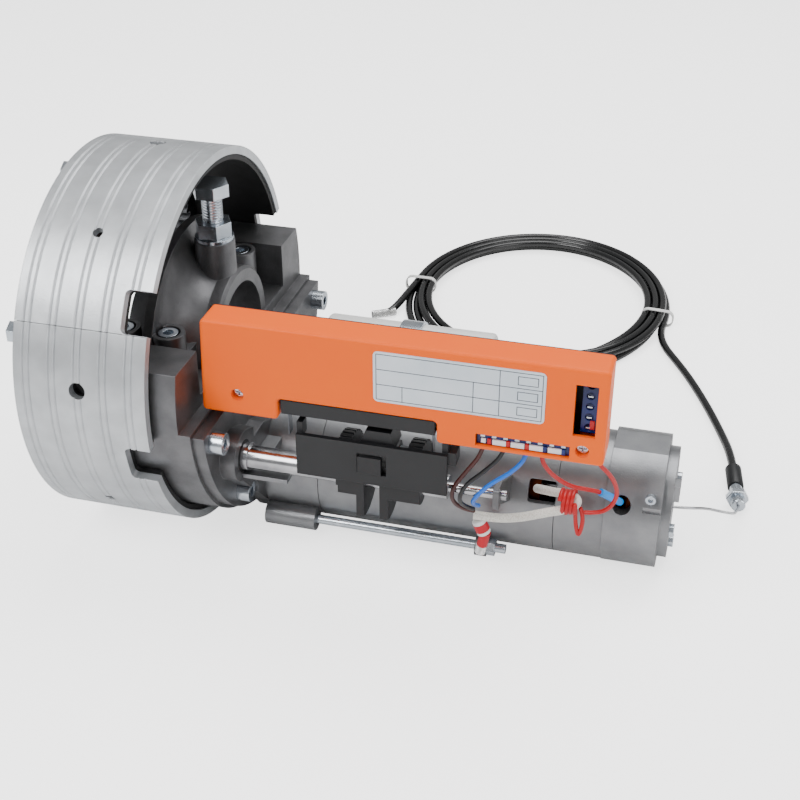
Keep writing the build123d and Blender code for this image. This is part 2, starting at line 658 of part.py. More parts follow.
TAIL_SCREWS = [(-24.0, -66.0), (24.0, -66.0), (0.0, -90.0)]
with BuildPart() as tail_cap:
    with BuildSketch(Plane.YZ.offset(TAIL_X)):
        with Locations((0, MOTOR_Z + 1.0)):
            Circle(TAIL_R - 6)
        with Locations((0, -31.0 + 20)):
            Rectangle(90, 40, mode=Mode.SUBTRACT)
    extrude(amount=5)
    disc(TAIL_X - 3, 3, MOTOR_R - 4.02, (0, MOTOR_Z))
    disc(TAIL_X - 4, 20, 1.6, (-12.0, -60.0), Mode.SUBTRACT)
    with Locations((TAIL_X + 5, -17.0, -46.0)):
        Box(3, 8, 9, align=(Align.MIN, Align.CENTER, Align.CENTER))
    for at in TAIL_SCREWS:
        disc(TAIL_X + 4, 2, 1.6, at, Mode.SUBTRACT)
save(tail_cap, "tail_cap")

with BuildPart() as tail_screws:
    for y, z in TAIL_SCREWS:
        socket_screw(Plane(origin=(TAIL_X + 5, y, z), z_dir=(1, 0, 0)), 3.4, 2.5, 3.0, 1.5, 0.4)
    socket_screw(Plane(origin=(235.5, -31.5, -43.0), z_dir=(0, -1, 0)), 2.6, 2.4, 2.4, 1.3, 0.4)
save(tail_screws, "tail_screws")

with BuildPart() as tie_rods:
    for at in ROD_PLACES:
        disc(44, 120, ROD_R, at)
save(tie_rods, "tie_rods")

with BuildPart() as tie_rod_nuts:
    for y, z in ROD_PLACES:
        with BuildSketch(Plane.YZ.offset(154)):
            with Locations((y, z)):
                RegularPolygon(8.0 / sqrt(3), 6)
                Circle(ROD_R + 0.05, mode=Mode.SUBTRACT)
        extrude(amount=4.5)
save(tie_rod_nuts, "tie_rod_nuts")

with BuildPart() as tie_rod_lugs:
    for y, z in ROD_PLACES:
        side = 1 if y > 0 else -1
        with BuildSketch(Plane.YZ.offset(148)):
            with Locations((y, z)):
                Circle(5.5)
            with Locations((side * 24, z + 5)):
                Rectangle(14, 12)
            with Locations((0, MOTOR_Z)):
                Circle(MOTOR_R + 0.02, mode=Mode.SUBTRACT)
            with Locations((y, z)):
                Circle(ROD_R + 0.1, mode=Mode.SUBTRACT)
            with Locations((0, FLOOR_Z - 5)):
                Rectangle(90, 10, mode=Mode.SUBTRACT)
        extrude(amount=6)
save(tie_rod_lugs, "tie_rod_lugs")

# ---- capacitor ----
with BuildPart() as capacitor:
    disc(42.0, 96.0, CAPACITOR_R, CAPACITOR_YZ)
    fillet(capacitor.edges().filter_by(GeomType.CIRCLE), 2.0)
save(capacitor, "capacitor")

with BuildPart() as capacitor_strap:
    ring(85.0, 12.0, CAPACITOR_R + 1.5, CAPACITOR_R + 0.02, CAPACITOR_YZ)
    block((85.0, 26.0, -48.0), (97.0, 38.5, -36.5))
    disc(80, 20, MOTOR_R + 0.02, (0, MOTOR_Z), Mode.SUBTRACT)
    disc(80, 20, CAPACITOR_R + 0.02, CAPACITOR_YZ, Mode.SUBTRACT)
save(capacitor_strap, "capacitor_strap")

# ---- control box ----
WALL = 2.0
BOX_BACK_Y = BOX_FRONT_Y + BOX_DEPTH
NOTCH_X = (56.0, 135.0)
NOTCH_TOP_Z = 9.6
SCREW_PLACES = ((35.8, 9.2), (203.7, 5.1))
with BuildPart() as control_box_cover:
    with BuildSketch(Plane.XZ.offset(-BOX_FRONT_Y)) as face:
        with BuildLine():
            Polyline((BOX_X[0], BOX_Z[0]), (NOTCH_X[0], BOX_Z[0]), (NOTCH_X[0], NOTCH_TOP_Z),
                     (NOTCH_X[1], NOTCH_TOP_Z), (NOTCH_X[1], BOX_Z[0]), (BOX_X[1], BOX_Z[0]),
                     (BOX_X[1], BOX_Z[1]), (BOX_X[0] + 2, BOX_Z[1]), close=True)
        make_face()
        fillet(face.vertices(), 2.2)
    extrude(amount=-BOX_DEPTH)
    edges = control_box_cover.faces().sort_by(Axis.Y)[0].edges()
    fillet(edges, 1.6)
    with BuildSketch(Plane.XZ.offset(-BOX_BACK_Y)) as hollow:
        with BuildLine():
            Polyline((BOX_X[0] + WALL, BOX_Z[0] + WALL), (NOTCH_X[0] - WALL, BOX_Z[0] + WALL),
                     (NOTCH_X[0] - WALL, NOTCH_TOP_Z + WALL), (NOTCH_X[1] + WALL, NOTCH_TOP_Z + WALL),
                     (NOTCH_X[1] + WALL, BOX_Z[0] + WALL), (BOX_X[1] - WALL, BOX_Z[0] + WALL),
                     (BOX_X[1] - WALL, BOX_Z[1] - WALL), (BOX_X[0] + WALL, BOX_Z[1] - WALL), close=True)
        make_face()
    extrude(amount=BOX_DEPTH - WALL, mode=Mode.SUBTRACT)
    block((153.8, -80, 0.3), (198.0, -69.5, 6.7), Mode.SUBTRACT)
    block((198.8, -80, 13.0), (209.0, -69.5, 40.0), Mode.SUBTRACT)
    block((154.5, -67.5, -3.0), (187.0, -60.5, 0.5), Mode.SUBTRACT)
    block((207.8, -66.0, -3.0), (211.8, -59.5, 0.5), Mode.SUBTRACT)
    for x, z in SCREW_PLACES:
        with BuildSketch(Plane.XZ.offset(-BOX_FRONT_Y)):
            with Locations((x, z)):
                Circle(4.0)
        extrude(amount=-BOX_DEPTH)
        with BuildSketch(Plane.XZ.offset(-BOX_FRONT_Y)):
            with Locations((x, z)):
                Circle(3.2)
        extrude(amount=-5.0, mode=Mode.SUBTRACT)
save(control_box_cover, "control_box_cover")

with BuildPart() as control_box_base:
    block((BOX_X[0] + 1, BOX_BACK_Y, -1.5), (NOTCH_X[0] - 0.3, BOX_BACK_Y + 2.5, BOX_Z[1] - 1))
    block((NOTCH_X[0] - 0.3, BOX_BACK_Y, 9.5), (NOTCH_X[1] + 0.3, BOX_BACK_Y + 2.5, BOX_Z[1] - 1))
    block((NOTCH_X[1] + 0.3, BOX_BACK_Y, -1.5), (BOX_X[1] - 1, BOX_BACK_Y + 2.5, BOX_Z[1] - 1))
    block((18.5, BOX_BACK_Y + 2.5, -4), (34, -40, 0))
    block((18.5, -50, -8), (30, -44, -4))
save(control_box_base, "control_box_base")

with BuildPart() as rating_label:
    with BuildSketch(Plane.XZ.offset(-BOX_FRONT_Y)):
        with Locations((145.0, 30.4)):
            RectangleRounded(81.0, 27.0, 2.5)
    extrude(amount=0.3)
save(rating_label, "rating_label")

with BuildPart() as box_screws:
    for x, z in SCREW_PLACES:
        with BuildSketch(Plane.XZ.offset(-BOX_FRONT_Y - 5.0)):
            with Locations((x, z)):
                Circle(2.8)
        extrude(amount=2.2)
        with BuildSketch(Plane.XZ.offset(-BOX_FRONT_Y - 2.8)):
            with Locations((x, z)):
                Rectangle(3.6, 0.8)
                Rectangle(0.8, 3.6)
        extrude(amount=-1.2, mode=Mode.SUBTRACT)
save(box_screws, "box_screws")


SUPPLY_Y = (-69.8, -58.0)
TERMINAL_Y = (-67.0, -58.0)
SUPPLY_WAYS = 8
SWITCH_WAYS = 5
with BuildPart() as terminal_blocks:
    block((154.3, SUPPLY_Y[0], 0.6), (197.7, SUPPLY_Y[1], 10.0))
    block((201.5, TERMINAL_Y[0], 12.8), (209.0, TERMINAL_Y[1], 40.5))
    with BuildSketch(Plane.XZ.offset(-SUPPLY_Y[0])):
        with Locations((176.0, 4.9)):
            with GridLocations(43.4 / SUPPLY_WAYS, 1, SUPPLY_WAYS, 1):
                Circle(1.4)
    extrude(amount=-1.6, mode=Mode.SUBTRACT)
    with BuildSketch(Plane.XZ.offset(-TERMINAL_Y[0])):
        with Locations((205.2, 26.6)):
            with GridLocations(1, 27.7 / SWITCH_WAYS, 1, SWITCH_WAYS):
                Circle(1.9)
    extrude(amount=-1.6, mode=Mode.SUBTRACT)
save(terminal_blocks, "terminal_blocks")

# ---- wires held between the box, the switches and the motor ----
WIRE_R = 1.1
SLEEVE_R = 2.3
SUPPLY_ROUTES = {
    "brown": [(157.1, -63.5, 3.2), (157.1, -65.0, -7.0), (147.5, -66.0, -21.5), (142.0, -66.0, -31.0),
              (141.5, -64.0, -39.5), (145.5, -56.5, -49.0), (150.0, -50.5, -53.5)],
    "black": [(167.3, -63.5, 3.2), (167.3, -65.0, -6.0), (158.0, -66.2, -17.5), (149.0, -66.4, -26.5),
              (145.4, -66.0, -35.5), (146.0, -60.5, -44.0), (150.3, -53.0, -50.5)],
    "blue": [(177.9, -63.5, 3.2), (177.9, -65.0, -6.0), (171.5, -66.0, -15.5), (160.5, -66.2, -24.5),
             (153.0, -64.0, -35.5), (150.2, -57.5, -44.5), (152.2, -49.5, -50.5)],
}
MOTOR_ROUTES = {
    "red lead": [(183.7, -63.5, 3.2), (183.7, -64.0, -7.0), (187.5, -60.0, -16.5), (192.5, -54.0, -25.0),
                 (198.5, -48.5, -31.5), (205.0, -45.5, -33.6), (211.5, -43.5, -35.5), (217.0, -38.5, -41.5),
                 (221.0, -31.0, -48.5)],
    "red return": [(209.9, -62.5, 2.0), (210.3, -62.8, -6.0), (215.8, -58.5, -13.5),
                   (219.3, -54.0, -22.5), (220.2, -50.0, -32.0), (217.3, -47.5, -41.0),
                   (211.5, -46.5, -46.3), (203.0, -46.0, -47.5)],
}
SLEEVE_ROUTE = [(149.8, -48.5, -57.5), (161.0, -48.5, -57.6), (174.0, -48.6, -54.4), (186.0, -49.0, -48.8),
                (194.5, -49.4, -45.4), (200.8, -47.2, -43.2), (200.6, -42.6, -41.8), (194.0, -40.6, -41.6),
                (187.0, -39.2, -42.6), (181.6, -35.2, -45.0), (178.4, -29.6, -48.8)]
with BuildPart() as supply_wires:
    for colour, route in SUPPLY_ROUTES.items():
        add(cord(route, WIRE_R, colour).part)
save(supply_wires, "supply_wires")
with BuildPart() as motor_wires:
    for colour, route in MOTOR_ROUTES.items():
        add(cord(route, WIRE_R, colour).part)
save(motor_wires, "motor_wires")
save(cord(SLEEVE_ROUTE, SLEEVE_R, "sleeve"), "motor_lead_sleeve")

with BuildPart() as wire_tie:
    with BuildSketch(Plane.YZ.offset(192.5)):
        with Locations((-45.2, -42.8)):
            Ellipse(7.0, 6.4)
    extrude(amount=8.5)
    for x in (199.2, 203.2):
        with Locations((x, -46.0, -54.0)):
            Cylinder(0.9, 15.0)
    block((199.2, -46.9, -62.3), (203.2, -45.1, -60.6))
    block((197.0, -46.9, -47.4), (203.2, -45.1, -45.6))
save(wire_tie, "wire_tie")

with BuildPart() as wire_marker:
    with BuildSketch(Plane(origin=(152.2, -48.5, -60.0), z_dir=(0.42, 0.03, -1))):
        Circle(3.6)
    extrude(amount=8.5)
    with BuildSketch(Plane(origin=(156.2, -48.3, -66.8), z_dir=(-0.2, 0.03, -1))):
        Circle(2.9)
    extrude(amount=14.0)
save(wire_marker, "wire_marker")

# ---- release cable, lying on the floor behind the motor ----
INNER_R = 0.75
FERRULE_TIP = (280.5, 47.0, -94.4)
FERRULE_WAY = (-0.131, 0.9914, 0.0)
INNER_ROUTE = [(TAIL_X + 5, -12.0, -60.0), (254.5, -10.0, -60.6), (262.5, -3.0, -64.0), (269.5, 7.0, -71.5),
               (275.5, 20.0, -81.0), (279.5, 33.5, -90.0), (280.5, 47.0, -94.4)]
SHEATH_Z = FLOOR_Z + SHEATH_R
LEAD_ROUTE = [(275.5, 84.7, -94.4), (273.6, 99.0, -94.9), (267.0, 125.0, SHEATH_Z), (254.5, 160.0, SHEATH_Z),
              (238.5, 197.0, SHEATH_Z), (219.4, 236.0, SHEATH_Z)]
END_ROUTE = [(36.2, 240.0, SHEATH_Z), (32.5, 233.0, SHEATH_Z), (26.5, 226.5, SHEATH_Z),
             (19.0, 221.0, SHEATH_Z)]
COIL_CENTRE = (128.0, 270.0)
COIL_OUTER = (96.0, 111.0)
COIL_BAND = 22.0
COIL_HEIGHT = 13.0

save(cord(INNER_ROUTE, INNER_R, "inner wire"), "release_inner_wire")
save(cord(LEAD_ROUTE, SHEATH_R, "cable lead"), "release_cable_lead")

with BuildPart() as cable_ferrule:
    tip = Plane(origin=FERRULE_TIP, z_dir=FERRULE_WAY)
    for start, length, radius in ((0, 6.0, 4.0), (10.5, 7.5, 3.6), (18.0, 20.0, 4.6)):
        with BuildSketch(tip.offset(start)):
            Circle(radius)
        extrude(amount=length)
    with BuildSketch(tip.offset(6.0)):
        RegularPolygon(5.4, 6, rotation=30)
    extrude(amount=4.5)
save(cable_ferrule, "cable_ferrule")

with BuildPart() as release_cable_coil:
    with BuildSketch(Plane.XY.offset(FLOOR_Z)):
        with Locations(COIL_CENTRE):
            Ellipse(*COIL_OUTER)
            Ellipse(COIL_OUTER[0] - COIL_BAND, COIL_OUTER[1] - COIL_BAND, mode=Mode.SUBTRACT)
    extrude(amount=COIL_HEIGHT)
save(release_cable_coil, "release_cable_coil")

release_cable_end = cord(END_ROUTE, SHEATH_R, "cable end")
save(release_cable_end, "release_cable_end")

with BuildPart() as cable_ties:
    for x, y, half_x in ((43.5, 262.0, 13.0), (212.5, 262.0, 13.0)):
        block((x - half_x, y - 1.6, FLOOR_Z + COIL_HEIGHT),
              (x + half_x, y + 1.6, FLOOR_Z + COIL_HEIGHT + 1.2))
save(cable_ties, "cable_ties")
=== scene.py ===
"""Looks for a central rolling-shutter motor: castings, plastics, wires and the release cable, in metres."""

import logging
import math
from dataclasses import dataclass, field
from enum import Enum

import bpy
from mathutils import Matrix, Vector

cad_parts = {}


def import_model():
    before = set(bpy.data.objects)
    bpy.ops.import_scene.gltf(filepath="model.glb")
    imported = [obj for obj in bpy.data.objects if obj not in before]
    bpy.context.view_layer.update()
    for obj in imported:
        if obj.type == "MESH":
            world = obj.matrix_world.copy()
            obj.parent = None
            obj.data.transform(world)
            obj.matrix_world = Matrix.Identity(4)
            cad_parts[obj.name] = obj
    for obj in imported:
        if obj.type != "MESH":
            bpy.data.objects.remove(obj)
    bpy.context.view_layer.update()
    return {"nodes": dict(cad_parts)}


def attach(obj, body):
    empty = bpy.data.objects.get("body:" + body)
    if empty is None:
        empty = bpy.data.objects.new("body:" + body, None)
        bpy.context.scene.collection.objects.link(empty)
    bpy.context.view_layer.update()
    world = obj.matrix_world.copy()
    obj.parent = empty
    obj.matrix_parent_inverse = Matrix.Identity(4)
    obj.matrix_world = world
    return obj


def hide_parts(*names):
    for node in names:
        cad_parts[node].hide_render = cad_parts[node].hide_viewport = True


LOG = logging.getLogger("shutter_motor")
MM = 0.001
HEXAGON = 6
PER_METRE = 1000.0
Point = tuple[float, float, float]
MaterialParts = tuple[bpy.types.Material, bpy.types.NodeTree, bpy.types.Node, bpy.types.NodeSocket]


class MetalState(Enum):
    """How a metal surface was left after it was made."""

    CAST = "cast"
    PLATED = "plated"
    GROUND = "ground"


# ---- shared node and mesh helpers ----
def linear(hex_colour: str) -> tuple[float, float, float, float]:
    """Turn an sRGB hex colour into a linear one.

    Args:
        hex_colour: six hexadecimal digits.

    Returns:
        Linear red, green, blue and an alpha of 1.
    """
    parts = [int(hex_colour[i : i + 2], 16) / 255 for i in (0, 2, 4)]
    values = [c / 12.92 if c <= 0.04045 else ((c + 0.055) / 1.055) ** 2.4 for c in parts]
    return (*values, 1.0)


def add_node(tree: bpy.types.NodeTree, kind: str, links: dict | None = None,
             **settings: object) -> bpy.types.Node:
    """Add a node, set its properties and sockets, and link its inputs.

    Args:
        tree: the tree that gets the node.
        kind: the node's type name.
        links: input name or index to an output socket or a constant.
        settings: properties of the node itself.

    Returns:
        The new node.
    """
    node = tree.nodes.new(kind)
    for name, value in settings.items():
        setattr(node, name, value)
    for key, value in (links or {}).items():
        if isinstance(value, bpy.types.NodeSocket):
            tree.links.new(value, node.inputs[key])
        else:
            node.inputs[key].default_value = value
    return node


def ramp(tree: bpy.types.NodeTree, source: bpy.types.NodeSocket,
         stops: list[tuple[float, str]]) -> bpy.types.Node:
    """Map a value to colours along a ramp.

    Args:
        tree: the tree that gets the node.
        source: the value.
        stops: two or more (place from 0 to 1, sRGB hex colour) pairs.

    Returns:
        The ramp node.
    """
    node = add_node(tree, "ShaderNodeValToRGB", {"Fac": source})
    points = node.color_ramp.elements
    while len(points) < len(stops):
        points.new(0.5)
    for point, (place, colour) in zip(points, stops):
        point.position = place
        point.color = linear(colour)
    return node


def new_material(name: str) -> MaterialParts:
    """Start a material.

    Args:
        name: of the real material and how its surface was made.

    Returns:
        The material, its tree, its principled shader and the object-coordinate socket.
    """
    material = bpy.data.materials.new(name)
    material.use_nodes = True
    tree = material.node_tree
    shader = tree.nodes["Principled BSDF"]
    place = add_node(tree, "ShaderNodeTexCoord")
    return material, tree, shader, place.outputs["Object"]


def noise(tree: bpy.types.NodeTree, place: bpy.types.NodeSocket, size_mm: float,
          detail: float = 3.0) -> bpy.types.NodeSocket:
    """Add noise of a real size.

    Args:
        tree: the tree that gets the node.
        place: the coordinates it reads.
        size_mm: how wide its features are.
        detail: octaves of finer noise.

    Returns:
        Its value socket.
    """
    scale = PER_METRE / size_mm
    node = add_node(tree, "ShaderNodeTexNoise", {"Vector": place, "Scale": scale, "Detail": detail})
    return node.outputs["Fac"]


def bump(tree: bpy.types.NodeTree, shader: bpy.types.Node, height: bpy.types.NodeSocket, depth_mm: float,
         edge_mm: float = 0.5) -> None:
    """Give a shader surface relief, over edges that catch the light.

    Args:
        tree: the material's tree.
        shader: its principled shader.
        height: the relief's value socket.
        depth_mm: how deep the relief is.
        edge_mm: radius that the sharp edges seem to have.
    """
    edge = add_node(tree, "ShaderNodeBevel", {"Radius": edge_mm * MM}, samples=4)
    node = add_node(
        tree,
        "ShaderNodeBump",
        {"Height": height, "Distance": depth_mm * MM, "Strength": 0.6, "Normal": edge.outputs["Normal"]},
    )
    tree.links.new(node.outputs["Normal"], shader.inputs["Normal"])


@dataclass(frozen=True)
class Metal:
    """A bare or plated metal, with grain and uneven roughness from how its surface was made."""

    name: str
    light: str
    dark: str
    roughness: float
    state: MetalState
    grain_mm: float = 0.6
    metallic: float = 1.0
    patch_mm: float = 14.0

    def build(self) -> bpy.types.Material:
        """Make the node material.

        Returns:
            The material.
        """
        material, tree, shader, place = new_material(self.name)
        patches = noise(tree, place, self.patch_mm, 4.0)
        colour = ramp(tree, patches, [(0.3, self.dark), (0.7, self.light)])
        tree.links.new(colour.outputs["Color"], shader.inputs["Base Color"])
        shader.inputs["Metallic"].default_value = self.metallic
        if self.state is MetalState.GROUND:
            turned = add_node(tree, "ShaderNodeMapping", {"Vector": place, "Scale": (1.0, 0.02, 0.02)})
            grain = noise(tree, turned.outputs["Vector"], self.grain_mm, 2.0)
        else:
            grain = noise(tree, place, self.grain_mm, 5.0)
        spread = add_node(
            tree,
            "ShaderNodeMapRange",
            {"Value": grain, "To Min": self.roughness - 0.08, "To Max": self.roughness + 0.1},
        )
        tree.links.new(spread.outputs["Result"], shader.inputs["Roughness"])
        depth = {MetalState.CAST: 0.16, MetalState.PLATED: 0.02, MetalState.GROUND: 0.02}[self.state]
        bump(tree, shader, grain, depth)
        return material


@dataclass(frozen=True)
class Plastic:
    """A moulded plastic or rubber with fine surface texture."""

    name: str
    colour: str
    worn: str
    roughness: float
    texture_mm: float = 0.5
    depth_mm: float = 0.02
    coat: float = 0.0
    specular: float = 0.5
    cloud_mm: float = 22.0

    def build(self) -> bpy.types.Material:
        """Make the node material.

        Returns:
            The material.
        """
        material, tree, shader, place = new_material(self.name)
        clouds = noise(tree, place, self.cloud_mm)
        colour = ramp(tree, clouds, [(0.35, self.colour), (0.75, self.worn)])
        tree.links.new(colour.outputs["Color"], shader.inputs["Base Color"])
        fine = noise(tree, place, self.texture_mm, 4.0)
        spread = add_node(
            tree,
            "ShaderNodeMapRange",
            {"Value": fine, "To Min": self.roughness - 0.05, "To Max": self.roughness + 0.06},
        )
        tree.links.new(spread.outputs["Result"], shader.inputs["Roughness"])
        shader.inputs["Coat Weight"].default_value = self.coat
        shader.inputs["Specular IOR Level"].default_value = self.specular
        bump(tree, shader, fine, self.depth_mm)
        return material


@dataclass(frozen=True)
class Braid:
    """Woven glass-fibre sleeving: crossed strands about a millimetre wide, soft and dull."""

    name: str
    colour: str
    shade: str
    strand_mm: float = 0.8
    checks_per_metre: float = 1100.0

    def build(self) -> bpy.types.Material:
        """Make the node material.

        Returns:
            The material.
        """
        material, tree, shader, place = new_material(self.name)
        weave = add_node(tree, "ShaderNodeTexChecker", {"Vector": place, "Scale": self.checks_per_metre})
        mixed = noise(tree, place, self.strand_mm, 4.0)
        colour = ramp(tree, mixed, [(0.3, self.shade), (0.6, self.colour)])
        tree.links.new(colour.outputs["Color"], shader.inputs["Base Color"])
        shader.inputs["Roughness"].default_value = 0.75
        shader.inputs["Sheen Weight"].default_value = 0.3
        bump(tree, shader, weave.outputs["Fac"], 0.15, 0.1)
        return material


@dataclass(frozen=True)
class Laminations:
    """Stacked electrical-steel sheets seen on edge, drawn thicker than half a millimetre so that they show."""

    name: str
    light: str
    dark: str
    bands_per_metre: float = 160.0

    def build(self) -> bpy.types.Material:
        """Make the node material.

        Returns:
            The material.
        """
        material, tree, shader, place = new_material(self.name)
        wave = add_node(
            tree,
            "ShaderNodeTexWave",
            {"Vector": place, "Scale": self.bands_per_metre, "Distortion": 0.4},
            bands_direction="X",
        )
        colour = ramp(tree, wave.outputs["Fac"], [(0.2, self.dark), (0.8, self.light)])
        tree.links.new(colour.outputs["Color"], shader.inputs["Base Color"])
        shader.inputs["Metallic"].default_value = 0.8
        shader.inputs["Roughness"].default_value = 0.5
        bump(tree, shader, wave.outputs["Fac"], 0.1)
        return material


@dataclass(frozen=True)
class ClearSleeve:
    """Soft clear PVC tube, slightly clouded."""

    name: str
    cloud_mm: float = 4.0

    def build(self) -> bpy.types.Material:
        """Make the node material.

        Returns:
            The material.
        """
        material, tree, shader, place = new_material(self.name)
        cloud = noise(tree, place, self.cloud_mm)
        colour = ramp(tree, cloud, [(0.3, "e8e8e6"), (0.8, "ffffff")])
        tree.links.new(colour.outputs["Color"], shader.inputs["Base Color"])
        shader.inputs["Roughness"].default_value = 0.2
        shader.inputs["Transmission Weight"].default_value = 0.75
        shader.inputs["IOR"].default_value = 1.45
        return material


class Palette:
    """Every finish on the motor, made once."""

    def __init__(self) -> None:
        """Build the materials."""
        finishes = [
            # tumbled die casting: very pale, soft even sheen with faint flow marks
            Metal("tumbled_cast_aluminium", "d6d9dc", "c2c5c8", 0.42, MetalState.CAST, 0.7, 0.85),
            # sand-textured gear case casting: darker and duller than the crown
            Metal("raw_cast_aluminium", "7e7e80", "68686a", 0.42, MetalState.CAST, 0.9, 0.9),
            # drawn motor barrel: mid grey with a soft highlight
            Metal("barrel_aluminium", "999a9c", "86878a", 0.36, MetalState.CAST, 0.8, 0.9),
            Metal("bright_zinc_plate", "dfe4ea", "b4bec8", 0.22, MetalState.PLATED, 1.6),
            Metal("ground_shaft_steel", "d0d0d2", "9c9ca0", 0.18, MetalState.GROUND, 0.35),
            Metal("case_hardened_gear_steel", "68696b", "4a4b4e", 0.34, MetalState.PLATED, 1.2),
            Metal("blue_spring_steel", "7c7e84", "5c6066", 0.3, MetalState.PLATED, 1.0),
            Metal("enamelled_copper_wire", "6e3010", "3c1a0a", 0.4, MetalState.GROUND, 0.5),
            Plastic("orange_abs", "ff6400", "ff6800", 0.4, 0.6, 0.012, 0.0, 0.2),
            Plastic("black_nylon_liner", "0b0b0c", "111113", 0.55, 0.8, 0.04),
            Plastic("black_glass_nylon", "101114", "17181b", 0.45, 0.5, 0.03),
            Plastic("white_capacitor_shell", "f0f0ee", "e2e2df", 0.3, 1.0, 0.01, 0.2),
            Plastic("nitrile_seal", "0c0c0d", "131314", 0.5, 0.5, 0.02),
            Plastic("blue_terminal_polyamide", "0b1a58", "122a7a", 0.3, 0.7, 0.01),
            Plastic("red_silicone_wire", "b40008", "c4020c", 0.36, 0.8, 0.01),
            Plastic("brown_pvc_wire", "3c0f08", "4c160c", 0.34, 0.8, 0.01, 0.1),
            Plastic("black_pvc_wire", "090a0b", "101113", 0.3, 0.8, 0.01, 0.1),
            Plastic("blue_pvc_wire", "0068d8", "0a74e4", 0.32, 0.8, 0.01, 0.1),
            Plastic("cyan_heat_shrink", "0090f0", "0a9cf8", 0.3, 0.8, 0.01, 0.2),
            Plastic("black_cable_sheath", "08090a", "0f1012", 0.26, 1.2, 0.012, 0.3),
            Plastic("white_tie_nylon", "f0f0ee", "dcdcda", 0.35, 0.8, 0.01),
            Plastic("silver_label_film", "dce4ec", "ccd6e0", 0.34, 3.0, 0.004, 0.1),
            Plastic("grey_label_ink", "343c48", "3c4450", 0.5, 0.6, 0.002),
            Plastic("white_label_border", "f6f7f8", "eeeff0", 0.4, 2.0, 0.002),
            Plastic("marker_red_print", "c0001c", "cc0424", 0.4, 0.8, 0.01),
            Plastic("white_terminal_pbt", "f2f2f4", "e4e4e6", 0.35, 0.8, 0.01),
            Braid("braided_glass_sleeving", "efece4", "cfcabd"),
            Laminations("stator_laminations", "8a8b8e", "4c4d50"),
            ClearSleeve("clear_pvc_tube"),
        ]
        self.by_name = {finish.name: finish.build() for finish in finishes}

    def __getitem__(self, name: str) -> bpy.types.Material:
        """Give the material of that name."""
        return self.by_name[name]


# ---- studio: camera, light and floor ----
@dataclass
class Studio:
    """A pale floor, soft light and the camera."""

    lens: float = 60.5
    sensor: float = 36.0
    near: float = 0.01
    floor_half: float = 4.0
    floor_glow: float = 1.9
    sky_strength: float = 0.4
    camera_at: Point = (0.25636, -0.58899, 0.34618)
    look_at: Point = (0.0981, 0.0, -0.02624)
    floor_z: float = -0.1005

    def aim(self, thing: bpy.types.Object, at: Point) -> None:
        """Turn a lamp or camera so that it looks at a point.

        Args:
            thing: the lamp or camera.
            at: the point, in metres.
        """
        way = Vector(at) - thing.location
        thing.rotation_euler = way.to_track_quat("-Z", "Y").to_euler()

    def lamp(self, name: str, at: Point, size: float, power: float, to: Point = (0.08, 0.05, -0.03)) -> None:
        """Hang one square soft box.

        Args:
            name: its name.
            at: where it hangs.
            size: side in metres.
            power: watts.
            to: where it points.
        """
        data = bpy.data.lights.new(name, "AREA")
        data.size = size
        data.energy = power
        lamp = bpy.data.objects.new(name, data)
        bpy.context.scene.collection.objects.link(lamp)
        lamp.location = at
        self.aim(lamp, to)

    def build(self) -> None:
        """Set the camera, lamps, world and floor."""
        scene = bpy.context.scene
        data = bpy.data.cameras.new("camera")
        data.lens = self.lens
        data.sensor_width = self.sensor
        data.clip_start = self.near
        camera = bpy.data.objects.new("camera", data)
        scene.collection.objects.link(camera)
        camera.location = self.camera_at
        self.aim(camera, self.look_at)
        scene.camera = camera
        self.lamp("key_softbox", (-0.5, -0.9, 1.1), 0.8, 18.0)
        self.lamp("top_softbox", (0.3, 0.5, 1.3), 1.2, 19.0)
        self.lamp("side_softbox", (1.3, -0.5, 0.5), 0.8, 6.0)
        world = bpy.data.worlds.new("white_room")
        world.use_nodes = True
        sky = world.node_tree.nodes["Background"]
        sky.inputs["Color"].default_value = (1.0, 1.0, 1.0, 1.0)
        sky.inputs["Strength"].default_value = self.sky_strength
        scene.world = world
        half = self.floor_half
        mesh = bpy.data.meshes.new("floor")
        corners = [(-half, -half, self.floor_z), (half, -half, self.floor_z), (half, half, self.floor_z),
                   (-half, half, self.floor_z)]
        mesh.from_pydata(corners, [], [(0, 1, 2, 3)])
        material = bpy.data.materials.new("white_paper")
        material.use_nodes = True
        paper = material.node_tree.nodes["Principled BSDF"]
        paper.inputs["Base Color"].default_value = (0.93, 0.93, 0.93, 1.0)
        paper.inputs["Roughness"].default_value = 0.9
        paper.inputs["Emission Color"].default_value = (1.0, 1.0, 1.0, 1.0)
        # the paper glows for the camera alone, so that it stays white and throws no extra light on the part
        rays = add_node(material.node_tree, "ShaderNodeLightPath")
        seen = rays.outputs["Is Camera Ray"]
        glow = add_node(material.node_tree, "ShaderNodeMath", {0: seen, 1: self.floor_glow},
                        operation="MULTIPLY")
        material.node_tree.links.new(glow.outputs["Value"], paper.inputs["Emission Strength"])
        floor = link_mesh("floor", mesh, material)


def link_mesh(name: str, mesh: bpy.types.Mesh, material: bpy.types.Material) -> bpy.types.Object:
    """Make an object of a mesh, with one material.

    Args:
        name: of the object.
        mesh: its mesh.
        material: its finish.

    Returns:
        The object, already in the scene.
    """
    piece = bpy.data.objects.new(name, mesh)
    bpy.context.scene.collection.objects.link(piece)
    mesh.materials.clear()
    mesh.materials.append(material)
    return piece


def settle(piece: bpy.types.Object, body: str, slot: str, *nodes: str) -> bpy.types.Object:
    """Let a piece ride on a body and stand for CAD nodes, which it hides.

    Args:
        piece: the finished piece.
        body: the CAD body that it moves with.
        slot: not used.
        nodes: CAD nodes that it stands for.

    Returns:
        The same piece.
    """
    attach(piece, body)
    if nodes:
        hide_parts(*nodes)
    LOG.info("piece %s rides on %s", piece.name, body)
    return piece


